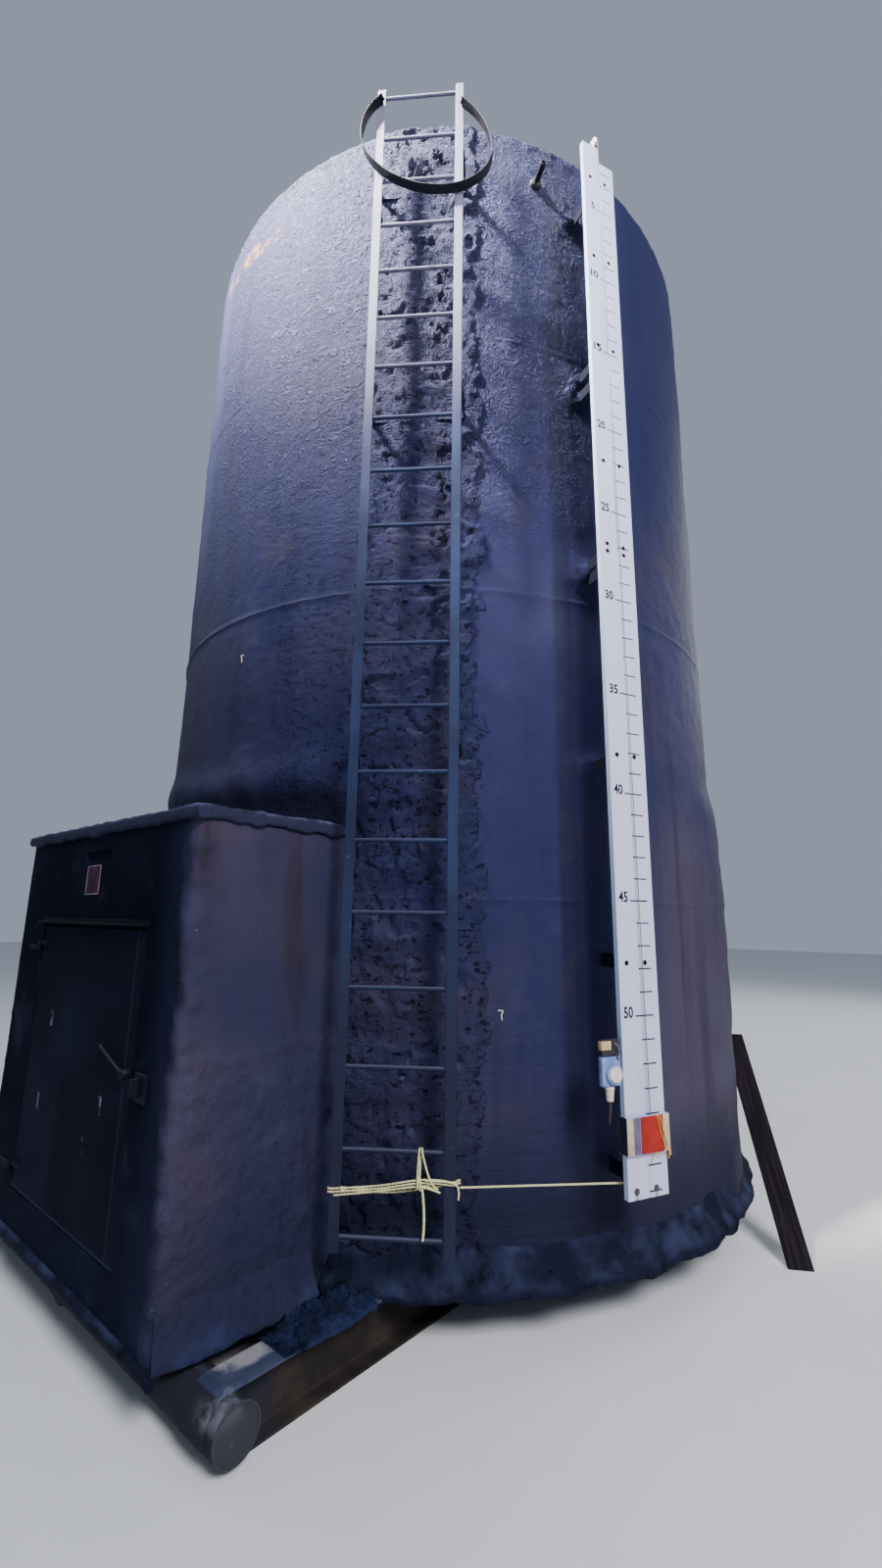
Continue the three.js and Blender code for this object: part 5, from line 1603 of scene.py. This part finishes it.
target_plate("target_edge_strip", TAN_STRIP, -0.1535, -0.124, 0.0012, "pale_plastic")
target_plate("target_violet_strip", VIOLET_STRIP, -0.122, -0.088, 0.0008, "pale_plastic")
target_plate("target_red_plate", TARGET_RED, -0.086, 0.030, 0.0020, "red_paint")
target_plate("target_right_strip", TAN_STRIP, 0.032, 0.0635, 0.0012, "pale_plastic")


def bent(points, count):
    """A smooth run through a few given points."""
    points = [Vector(p) for p in points]
    ends = [points[0] * 2 - points[1], *points, points[-1] * 2 - points[-2]]
    smooth_run = []
    spans = len(points) - 1
    for k in range(count * spans + 1):
        i = min(k // count, spans - 1)
        t = (k - i * count) / count
        a, b, c, d = ends[i : i + 4]
        smooth_run.append(
            0.5 * (2 * b + (c - a) * t + (2 * a - 5 * b + 4 * c - d) * t * t + (3 * b - a - 3 * c + d) * t**3)
        )
    return smooth_run


STRING_RADIUS = 0.0024
string = Piece(GAUGE)
string_out = TARGET_FACE + 0.0022 + STRING_RADIUS
string_over = string_out + 0.002
first_strand = [(2.152, -0.004, 0.8785), (string_out, 0.000, 0.868), (string_out, 0.014, 0.812)]
first_strand += [(string_out, 0.032, 0.764), (string_out, 0.043, 0.745)]
second_strand = [(2.152, 0.010, 0.8785), (string_out, 0.014, 0.866), (string_over, 0.026, 0.815)]
second_strand += [(string_over, 0.041, 0.772), (string_over, 0.045, 0.746)]
tail_strand = [(string_out, 0.043, 0.748), (string_out + 0.003, 0.050, 0.733)]
tail_strand += [(string_out + 0.001, 0.046, 0.712)]
left_strand = [(string_out, 0.041, 0.745), (string_over, 0.020, 0.737), (string_out - 0.001, 0.000, 0.7345)]
left_strand += [(2.1465, -0.014, 0.729), (2.1445, -0.020, 0.712), (2.1445, -0.026, 0.694)]
end_strand = [(string_out, 0.045, 0.748), (string_over, 0.056, 0.739), (string_out, 0.060, 0.722)]
for strand in (first_strand, second_strand, tail_strand, left_strand, end_strand):
    string.tube(bent(strand, 12), STRING_RADIUS, 12, lobes=3, pitch=0.016)
knot = [
    (string_out + 0.003 * math.cos(a * 2), 0.043 + 0.006 * math.cos(a), 0.747 + 0.006 * math.sin(a * 1.5))
    for a in (2 * math.pi * i / 40 for i in range(40))
]
string.tube(knot, STRING_RADIUS, 10)
string.done("target_string", STRING, body="gauge_target", slot="rope_fibre", sharp=80)
print("carriage dressed between", round(TARGET_LOW, 3), "and", round(TARGET_HIGH, 3))

# %% [markdown]
# ## Cable and pulley
# The cable runs from the carriage to a pulley on the board's top. It gets shorter as the carriage climbs, and
# the share of its length that stays at the top of the slide is worked out. It is a laid wire, and its many
# rings let it stay round.

# %% Gauge cable
WIRE_OUT = (2.146 + TARGET_FACE) / 2
WIRE_RADIUS = 0.002
WIRE_RINGS = 701
PULLEY = {"across": -0.052, "wheel": 0.045, "half": 0.007, "gap": 0.004, "cheek": 0.005, "up": 6.057}
WIRE_FOOT = Vector((WIRE_OUT, -0.027, TARGET_HIGH + 0.0003))
WIRE_HEAD = Vector((WIRE_OUT, PULLEY["across"], PULLEY["up"]))
SLIDE = next(joint for joint in frame["joints"] if joint["name"] == "gauge_target_slide")
slide_reach = max(SLIDE["range_m"])
wire_length = WIRE_HEAD.z - WIRE_FOOT.z
wire_route = [WIRE_FOOT.lerp(WIRE_HEAD, i / (WIRE_RINGS - 1)) for i in range(WIRE_RINGS)]
wire = Piece(GAUGE).tube(wire_route, WIRE_RADIUS, 12, lobes=6, pitch=0.06, depth=0.22)
wire = wire.done("gauge_cable_wire", WIRE_STEEL, replaces=["gauge_cable"], sharp=80)
kept_share = (wire_length - slide_reach) / wire_length
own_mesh(wire)
print("the cable keeps", round(kept_share, 4), "of its", round(wire_length, 3), "m")

# %% Pulley
BOARD_TOP = 6.0
wheel_out = WIRE_OUT - WIRE_RADIUS - 0.0003 - PULLEY["wheel"]


def pulley():
    piece = Piece(GAUGE)
    inner = PULLEY["half"] + PULLEY["gap"]
    outer = inner + PULLEY["cheek"]
    middle = PULLEY["across"]
    foot_height = (BOARD_TOP + 0.0003, BOARD_TOP + 0.006)
    piece.block((BOARD_BACK, BOARD_FRONT), (middle - outer, middle + outer), foot_height, 0.001)
    for side in (middle - outer, middle + inner):
        depth = (wheel_out - 0.010, BOARD_FRONT)
        piece.block(depth, (side, side + PULLEY["cheek"]), (BOARD_TOP + 0.003, PULLEY["up"] + 0.012), 0.002)
    wheel, half = PULLEY["wheel"], PULLEY["half"]
    groove = wheel - 0.007
    profile = [(wheel - 0.002, -half), (wheel, -half + 0.001), (groove, -0.001), (groove, 0.001)]
    profile += [(wheel, half - 0.001), (wheel - 0.002, half)]
    piece.lathe((wheel_out, middle, PULLEY["up"]), (0, 1, 0), profile, 48)
    axle = [(0.006, -outer - 0.003), (0.006, outer + 0.003)]
    piece.lathe((wheel_out, middle, PULLEY["up"]), (0, 1, 0), axle, 16)
    return piece.done("gauge_pulley", BRIGHT_STEEL, replaces=["gauge_pulley_head"], sharp=30)


print(pulley().name, "made")

# %% [markdown]
# ## The level sensor
# A small electrical box hangs beside the board: a blue-grey body, a black head bound with tape, a round cap,
# a ribbed gland and two loops of spare wire. The plain box of the frame stands for all of it, so the finer
# body replaces that one solid, and the rest are pieces on it.

# %% Sensor finishes and body
SENSOR_BLUE = plate_finish("sensor_blue", srgb(132, 152, 196), srgb(96, 116, 164), 0.5)
PALE_PLASTIC = plate_finish("pale_plastic", srgb(232, 222, 208), srgb(206, 192, 176), 0.45, 0.2)
TAPE_YELLOW = plate_finish("tape_yellow", srgb(222, 200, 158), srgb(190, 160, 116), 0.6)
SENSOR_BODY = {"left": -0.262, "right": -0.168, "low": 1.001, "split": 1.112, "high": 1.178}
KNOB_MIDDLE = (-0.207, 1.048)
ARM_HEIGHT = (1.040, 1.100)
ARM_PLATES = [((2.094, 2.102), (-0.215, -0.100)), ((2.101, 2.1147), (-0.130, -0.100))]
ARM_PLATES.append(((2.101, 2.128), (-0.215, -0.185)))


def sensor():
    """The body with the arm that reaches behind the board, its black head, the tape and the round cap."""
    left, right = SENSOR_BODY["left"], SENSOR_BODY["right"]
    low, split, high = SENSOR_BODY["low"], SENSOR_BODY["split"], SENSOR_BODY["high"]
    body = Piece(GAUGE).block((2.127, 2.153), (left, right), (low, split), 0.005, 3)
    for depth, across in ARM_PLATES:
        body.block(depth, across, ARM_HEIGHT, 0.001)
    boss = [(0.040, 0.0), (0.040, 0.010), (0.038, 0.013), (0.032, 0.014), (0.032, 0.010)]
    body.lathe((2.152, *KNOB_MIDDLE), (1, 0, 0), boss, 40)
    body.done("sensor_body", SENSOR_BLUE, replaces=["sensor_box"])
    head = Piece(GAUGE).block((2.129, 2.149), (left + 0.004, right), (split - 0.001, high), 0.004, 3)
    head.done("sensor_head", RUBBER, slot="black_plastic")
    tape = Piece(GAUGE).block((2.1275, 2.1505), (left + 0.002, left + 0.050), (1.138, 1.172), 0.002)
    tape.done("sensor_tape", TAPE_YELLOW, slot="pale_plastic")
    cap = [(0.031, 0.0), (0.031, 0.006), (0.029, 0.0085), (0.020, 0.0095)]
    disc = Piece(GAUGE).lathe((2.1625, *KNOB_MIDDLE), (1, 0, 0), cap, 40)
    disc.done("sensor_cap_disc", PALE_PLASTIC, replaces=["sensor_cap"])


sensor()
print("sensor, head, tape and cap")


# %% Gland and wires
def gland():
    """A ribbed nut over a tapered boot."""
    top, length, radius = 0.9997, 0.054, 0.019
    profile = [(radius * 0.7, 0.0), (radius * 0.74, 0.004)]
    for i in range(6):
        z = 0.008 + i * 0.006
        swell = radius * (0.78 + 0.03 * i)
        profile += [(swell, z), (swell * 0.88, z + 0.003)]
    profile += [(radius, length - 0.010), (radius, length - 0.001), (radius - 0.001, length)]
    return Piece(GAUGE).lathe((*CABLE_PLACE, top - length), (0, 0, 1), profile, 32)


gland().done("cable_gland_nut", PALE_PLASTIC, replaces=["cable_gland"], sharp=50)
wires = Piece(GAUGE)
for shift in (0.0, 0.006):
    loop = [(2.150, -0.196, 1.160 + shift), (2.158, -0.186, 1.150 + shift), (2.160, -0.180, 1.125)]
    loop += [(2.158, -0.189 + shift, 1.110), (2.150, -0.180 + shift, 1.094)]
    wires.tube(bent(loop, 10), 0.0022, 8)
wires.done("sensor_wires", VIOLET_STRIP, slot="pale_plastic", sharp=80)
print("gland and two wires")

# %% [markdown]
# ## Ropes
# A pale rope is wound round both rails, hitched over a rung and led to the gauge board's lowest bracket.
# Each turn is one laid strand on its own path, so that the turns lie beside each other instead of forming a
# solid band.

# %% Rope turns on the ladder
STRAND = 0.0038
WRAP_FRONT = RAIL_FRONT + STRAND + 0.0005
WRAP_BACK = RAIL_BACK - STRAND - 0.0005
WRAP_SIDE = RAIL_OUTER + STRAND + 0.0005
FRONT_RUN = (-0.225, -0.05, 0.10, 0.18, 0.225)
LAID = {"sides": 12, "lobes": 3, "pitch": 0.06, "depth": 0.12}


def full_turn(front_heights, back_height):
    """One turn round both rails. It droops behind them, and its front heights lie over FRONT_RUN."""
    left, right = front_heights[0], front_heights[-1]
    route = [(WRAP_FRONT, across, z) for across, z in zip(FRONT_RUN, front_heights)]
    route += [(WRAP_FRONT - 0.001, WRAP_SIDE - 0.006, right), (WRAP_FRONT - 0.010, WRAP_SIDE, right - 0.001)]
    route += [(WRAP_BACK + 0.010, WRAP_SIDE, right - 0.010), (WRAP_BACK, WRAP_SIDE - 0.010, right - 0.014)]
    route += [(WRAP_BACK, 0.0, back_height), (WRAP_BACK, 0.010 - WRAP_SIDE, back_height)]
    route += [(WRAP_BACK + 0.010, -WRAP_SIDE, back_height + 0.003)]
    route += [(WRAP_FRONT - 0.010, -WRAP_SIDE, left - 0.003)]
    route += [(WRAP_FRONT - 0.001, 0.006 - WRAP_SIDE, left - 0.001)]
    return route + [route[0]]


rung_height = LOWEST_RUNG + RUNG_PITCH
on_top = WRAP_FRONT + 2 * STRAND
over_rung = [
    (on_top, 0.100, 0.640),
    (on_top, 0.100, 0.690),
    (RUNG_OUT + 0.0145, 0.103, rung_height),
    (RUNG_OUT, 0.104, rung_height + 0.0145),
    (RUNG_OUT - 0.0145, 0.106, rung_height),
    (RUNG_OUT + 0.004, 0.108, rung_height - 0.030),
    (on_top - 0.004, 0.108, 0.676),
    (on_top + 0.004, 0.110, 0.650),
    (on_top, 0.112, 0.634),
]
second_leg = [
    (RUNG_OUT - 0.0145, 0.112, rung_height - 0.004),
    (RUNG_OUT, 0.114, rung_height + 0.0145),
    (RUNG_OUT + 0.0145, 0.117, rung_height),
    (on_top - 0.002, 0.136, 0.700),
    (on_top, 0.152, 0.664),
    (on_top, 0.168, 0.645),
]
lower_end = [(WRAP_FRONT, across, z) for across, z in zip(FRONT_RUN, (0.6000, 0.6215, 0.6435, 0.638))]
loose_end = [(on_top, 0.104, 0.648), (on_top, 0.140, 0.642), (on_top - 0.002, 0.188, 0.628)]
hanging_end = [(on_top, 0.130, 0.668), (on_top, 0.215, 0.667), (on_top - 0.001, 0.250, 0.656)]
hanging_end += [(on_top - 0.003, 0.258, 0.632), (on_top - 0.004, 0.257, 0.606)]
knot_turn = [
    (WRAP_FRONT + 0.0115 * math.cos(a), 0.100 + 0.0009 * i, 0.655 + 0.021 * math.sin(a))
    for i, a in ((i, 2 * math.pi * i / 12) for i in range(14))
]

rope_turns = Piece(LADDER)
for front_heights, back_height in (
    ((0.6235, 0.641, 0.666, 0.6685, 0.664), 0.610),
    ((0.6120, 0.631, 0.655, 0.6575, 0.654), 0.600),
):
    rope_turns.tube(bent(full_turn(front_heights, back_height), 12), STRAND, **LAID)
for route in (lower_end, over_rung, second_leg, loose_end, hanging_end, knot_turn):
    rope_turns.tube(bent(route, 12), STRAND, **LAID)
rope_turns.done("rope_turns", ROPE, replaces=["rope_wraps"], sharp=80)
print("two full turns, a hitch over a rung, a knot and three loose ends")

# %% Rope line and its loop on the bracket
LINE_OUT = 2.095
LINE_RADIUS = ROPE_RADIUS * 0.9
line_start = GAUGE @ Vector((LINE_OUT, -0.0574, 0.614))
line_end = LADDER @ Vector((RAIL_FRONT - 0.012, RAIL_OUTER + 0.0158, 0.641))
line_route = [line_start.lerp(line_end, i / 80) for i in range(81)]
line = Piece().tube(line_route, LINE_RADIUS, 12, lobes=3, pitch=0.05)
line.done("rope_line_taut", ROPE, replaces=["rope_line"], sharp=80)
loop_low, loop_high = 0.5895 - ROPE_RADIUS, 0.6505 + ROPE_RADIUS
loop_left, loop_right = -0.0455 - ROPE_RADIUS, -0.0385 + ROPE_RADIUS
loop_middle = (loop_left + loop_right) / 2
bracket_loop = [(loop_left, 0.600), (loop_left, 0.640), (loop_middle, loop_high), (loop_right, 0.640)]
bracket_loop += [(loop_right, 0.600), (loop_middle, loop_low), (loop_left, 0.6005)]
bracket_loop = [(LINE_OUT, across, z) for across, z in bracket_loop]
bracket_rope = Piece(GAUGE).tube(bent(bracket_loop, 10), LINE_RADIUS, 12, lobes=3, pitch=0.05)
bracket_rope.done("rope_loop_turn", ROPE, replaces=["rope_loop"], sharp=80)
print("taut line", round((line_end - line_start).length, 3), "m")

# %% [markdown]
# ## Door furniture and sign
# The door and its straps are kept. Its lever is a round bar with a boss, and bolts hold the straps. The sign
# over the door is a bare red plate in a thin pale frame.


# %% Door finish, lever and bolts
def door_finish():
    """The house's dark coat, a little cleaner, with pale scuffs and painted highlights on its edges."""
    finish = Finish("door_coating", specular=0.01)
    wide = finish.noise(1.8, 4, 0.55)
    streak = finish.noise(6.0, 5, 0.6, stretch=(1, 1, 0.12))
    grain = finish.noise(90, 5, 0.6)
    finish.colour = finish.mix(finish.rise(wide, 0.35, 0.7), srgb(17, 20, 33), srgb(26, 29, 45))
    # A thin line near the right edge and a strip along the foot are painted lighter: painted highlights on
    # raised rims.
    stile_highlight = finish.window(finish.x, 0.476, 0.484, 0.003)
    finish.coat(stile_highlight * 0.35, srgb(50, 54, 78))
    foot = finish.rise(finish.z, 0.402, 0.396)
    finish.coat(foot * 0.35, srgb(60, 66, 88))
    finish.coat(finish.rise(streak, 0.6, 0.75) * 0.4, srgb(36, 37, 50))
    scuff = finish.rise(finish.noise(9, 5, 0.7, stretch=(1, 1, 0.35)), 0.69, 0.73)
    finish.coat(scuff * 0.7, srgb(98, 102, 122))
    worn = finish.rise(finish.noise(45, 5, 0.7, stretch=(1, 1, 0.3)), 0.5, 0.56)
    for x, z in ((-0.34, 1.165), (-0.375, 0.795), (0.29, 0.895)):
        spot = finish.window(finish.x, x - 0.010, x + 0.010, 0.008)
        spot = spot * finish.window(finish.z, z - 0.030, z + 0.030, 0.010)
        finish.coat(spot * worn * 0.5, srgb(150, 152, 166))
    return finish.paint(0.5 + 0.25 * grain, grain + 0.6 * wide, 0.002)


keep(["door"], door_finish(), 0.003)
DOOR_FACE = -2.4063
HANDLE = {"x": 0.505, "z": 1.045, "tip": (0.272, 1.122), "radius": 0.009, "stand": 0.026}


def door_lever():
    piece = Piece()
    knuckle = Vector((HANDLE["x"], DOOR_FACE - HANDLE["stand"], HANDLE["z"]))
    profile = [(0.024, 0.0), (0.024, 0.003), (0.018, 0.005), (0.018, 0.020), (0.022, 0.022), (0.019, 0.026)]
    piece.lathe((HANDLE["x"], DOOR_FACE, HANDLE["z"]), (0, -1, 0), profile, 32)
    bar_y = knuckle.y + HANDLE["radius"]
    route = [(HANDLE["x"] + 0.012, bar_y, HANDLE["z"] - 0.004), (0.44, bar_y, 1.066)]
    route += [(0.34, bar_y - 0.002, 1.100), (HANDLE["tip"][0], bar_y - 0.001, HANDLE["tip"][1])]
    piece.tube(bent(route, 10), HANDLE["radius"] * 0.65, 16)
    return piece.done("door_lever", DARK_STEEL, body="door", replaces=["door_handle"], sharp=40)


HINGE_HEIGHTS = (1.490, 0.475)


def hinge_bolts():
    """Bolt heads on the wall plates of the hinges, and on the door's straps."""
    wall, door = Piece(), Piece()
    plate_y, strap_y = HOUSE_FRONT - 0.0083, HOUSE_FRONT - 0.0093
    for z in HINGE_HEIGHTS:
        for x in (-0.735, -0.675):
            wall.bolt((x, plate_y, z - 0.0125), (0, -1, 0), 0.008, 0.005)
        for x in (-0.545, -0.505):
            door.bolt((x, strap_y, z + 0.0125), (0, -1, 0), 0.008, 0.005)
    wall.done("hinge_plate_bolts", DARK_STEEL, slot="dark_steel")
    door.done("door_strap_bolts", DARK_STEEL, body="door", slot="dark_steel")


print(door_lever().name, "made")
hinge_bolts()
print("four bolts on each hinge")

# %% Flakes
# Pale flakes stick to the coating: one low beside the ladder, one on the left above the house. Each has its
# angle round the tank, its height and its lean.
FLAKES = [(-40.75, 1.24, 0.010), (-84.5, 3.02, -0.006)]
for number, (flake_angle, flake_z, lean) in enumerate(FLAKES):
    flake_frame = turned_to(flake_angle)
    flake_out = SHELL + foam_reach(flake_angle, flake_z) + 0.003
    bends = [(flake_out, -lean, flake_z + 0.020), (flake_out + 0.004, lean, flake_z + 0.018)]
    bends += [(flake_out + 0.002, lean * 0.4, flake_z), (flake_out, lean * 0.8, flake_z - 0.020)]
    flake = Piece(flake_frame).tube(bent(bends, 8), 0.0024, 8)
    flake.done("shell_flake_%d" % (number + 1), PALE_PLASTIC, slot="pale_plastic", sharp=80)
print(len(FLAKES), "flakes")

# %% Sign
SIGN_RED = plate_finish("sign_red", srgb(62, 29, 54), srgb(43, 21, 43), 0.5, specular=0.05)
SIGN_EDGE = plate_finish("sign_edge", srgb(132, 122, 136), srgb(92, 84, 98), 0.5, specular=0.05)
SIGN_SHARE = (0.66, 0.92)
SIGN_RIM = 0.005
sign_low, sign_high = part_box("sign_plate")
sign_middle = (sign_low + sign_high) / 2
sign_size = (sign_high.x - sign_low.x, sign_high.z - sign_low.z)
sign_half = [size / 2 * share for size, share in zip(sign_size, SIGN_SHARE)]
sign_x = (sign_middle.x - sign_half[0], sign_middle.x + sign_half[0])
sign_z = (sign_middle.z - sign_half[1], sign_middle.z + sign_half[1])
sign = Piece().block(sign_x, (sign_low.y, sign_high.y), sign_z, 0.0008)
sign.done("sign_bare_plate", SIGN_RED, replaces=["sign_plate"])
sign_frame = Piece()
sign_depth = (sign_low.y - 0.0012, sign_low.y)
for x in ((sign_x[0], sign_x[0] + SIGN_RIM), (sign_x[1] - SIGN_RIM, sign_x[1])):
    sign_frame.block(x, sign_depth, sign_z, 0.0004)
for z in ((sign_z[0], sign_z[0] + SIGN_RIM), (sign_z[1] - SIGN_RIM, sign_z[1])):
    sign_frame.block((sign_x[0] + SIGN_RIM, sign_x[1] - SIGN_RIM), sign_depth, z, 0.0004)
sign_frame.done("sign_frame", SIGN_EDGE, slot="pale_plastic")
print("sign", [round(2 * half, 3) for half in sign_half])

# %% [markdown]
# ## Clean-out cover and leaning board
# The clean-out's cover is bolted on all round. The plank that leans on it has been outside for years: its
# grain runs along its length, so the finish measures places along and across the plank instead of along X, Y
# and Z.

# %% Clean-out bolts
CLEANOUT_BOX = {"half": 0.36, "low": 0.225, "high": 1.400, "face": 1.930, "inset": 0.024}
BOLT_SPACING = 0.11


def cleanout_bolts():
    piece = Piece(CLEANOUT)
    side = CLEANOUT_BOX["half"] - CLEANOUT_BOX["inset"]
    low, high = CLEANOUT_BOX["low"] + CLEANOUT_BOX["inset"], CLEANOUT_BOX["high"] - CLEANOUT_BOX["inset"]
    places = [(across, z) for across in (-side, side) for z in spaced([low, high], BOLT_SPACING)]
    places += [(across, z) for z in (low, high) for across in spaced([-side, side], BOLT_SPACING)[1:-1]]
    for across, z in places:
        piece.bolt((CLEANOUT_BOX["face"], across, z), (1, 0, 0), 0.011, 0.008)
    piece.done("cleanout_bolts", DARK_STEEL, slot="dark_steel")
    return len(places)


print("clean-out bolts:", cleanout_bolts())

# %% Leaning board
PLANK_FOOT = Vector((2.184, 0.201, 0.0))
PLANK_TOP = Vector((1.707, 0.976, 0.935))


def timber_finish():
    finish = Finish("old_timber", specular=0.05)
    along = (PLANK_TOP - PLANK_FOOT).normalized()
    wide = Vector((along.y, -along.x, 0)).normalized()

    def measured(way):
        dot = {"operation": "DOT_PRODUCT"}
        return finish.add("ShaderNodeVectorMath", dot, {0: finish.place, 1: tuple(way)}, "Value")

    sockets = {0: measured(along) * 1.6, 1: measured(wide) * 26.0, 2: measured(along.cross(wide)) * 26.0}
    lengthwise = finish.add("ShaderNodeCombineXYZ", {}, sockets)
    rings = finish.add("ShaderNodeTexNoise", {}, {"Vector": lengthwise, "Scale": 3.0, "Detail": 6.0})
    fibres = finish.add("ShaderNodeTexNoise", {}, {"Vector": lengthwise, "Scale": 14.0, "Detail": 4.0})
    finish.colour = finish.mix(finish.rise(rings, 0.35, 0.65), srgb(20, 17, 21), srgb(36, 30, 34))
    finish.coat(finish.rise(fibres, 0.58, 0.7) * 0.5, srgb(10, 8, 11))
    return finish.paint(0.75 + 0.15 * fibres, fibres + rings, 0.0015)


keep(["leaning_board"], timber_finish(), 0.002)

# %% [markdown]
# ## Floor and light
# The object is shown as a specimen: a plain pale floor, a wide soft key light from the right like the open
# sky on that side, one near the top, a weaker one on the upper left, one behind, and a pale world. None of
# this belongs to the tank.


# %% Floor, lights and world
def floor():
    reach = 40.0
    mesh = bpy.data.meshes.new("floor")
    corners = [(-reach, -reach, 0), (reach, -reach, 0), (reach, reach, 0), (-reach, reach, 0)]
    mesh.from_pydata(corners, [], [(0, 1, 2, 3)])
    finish = Finish("floor_paint", specular=0.2)
    grain = finish.noise(3.0, 4)
    finish.colour = finish.mix(grain, (0.62, 0.62, 0.63), (0.68, 0.68, 0.69))
    mesh.materials.append(finish.paint(0.9))
    plane = bpy.data.objects.new("floor", mesh)
    bpy.context.scene.collection.objects.link(plane)


def area_light(name, place, target, size, power, colour, spread=180):
    data = bpy.data.lights.new(name, "AREA")
    data.shape = "DISK"
    data.size = size
    data.energy = power
    data.color = colour
    data.spread = math.radians(spread)
    light = bpy.data.objects.new(name, data)
    light.location = place
    light.rotation_mode = "QUATERNION"
    light.rotation_quaternion = (Vector(target) - Vector(place)).to_track_quat("-Z", "Y")
    bpy.context.scene.collection.objects.link(light)


def sky():
    world = bpy.data.worlds.new("studio")
    world.use_nodes = True
    background = world.node_tree.nodes["Background"]
    background.inputs["Color"].default_value = (0.68, 0.80, 1.0, 1.0)
    background.inputs["Strength"].default_value = 0.42
    bpy.context.scene.world = world


floor()
sky()
area_light("key", (10, -5, 9), (0, 0, 3.5), 4.5, 2200, (0.96, 0.97, 1.0))
area_light("top", (-0.5, -6.9, 11.6), (0.45, -1.4, 6.05), 1.4, 540, (1.0, 0.98, 0.97), spread=25)
area_light("left", (-11, -5, 11), (-1, -1, 6), 4.0, 380, (0.74, 0.84, 1.0))
area_light("back", (3, 12, 9), (0, 0, 3), 7.0, 700, (1.0, 1.0, 1.0))
print("floor, world and four lights")
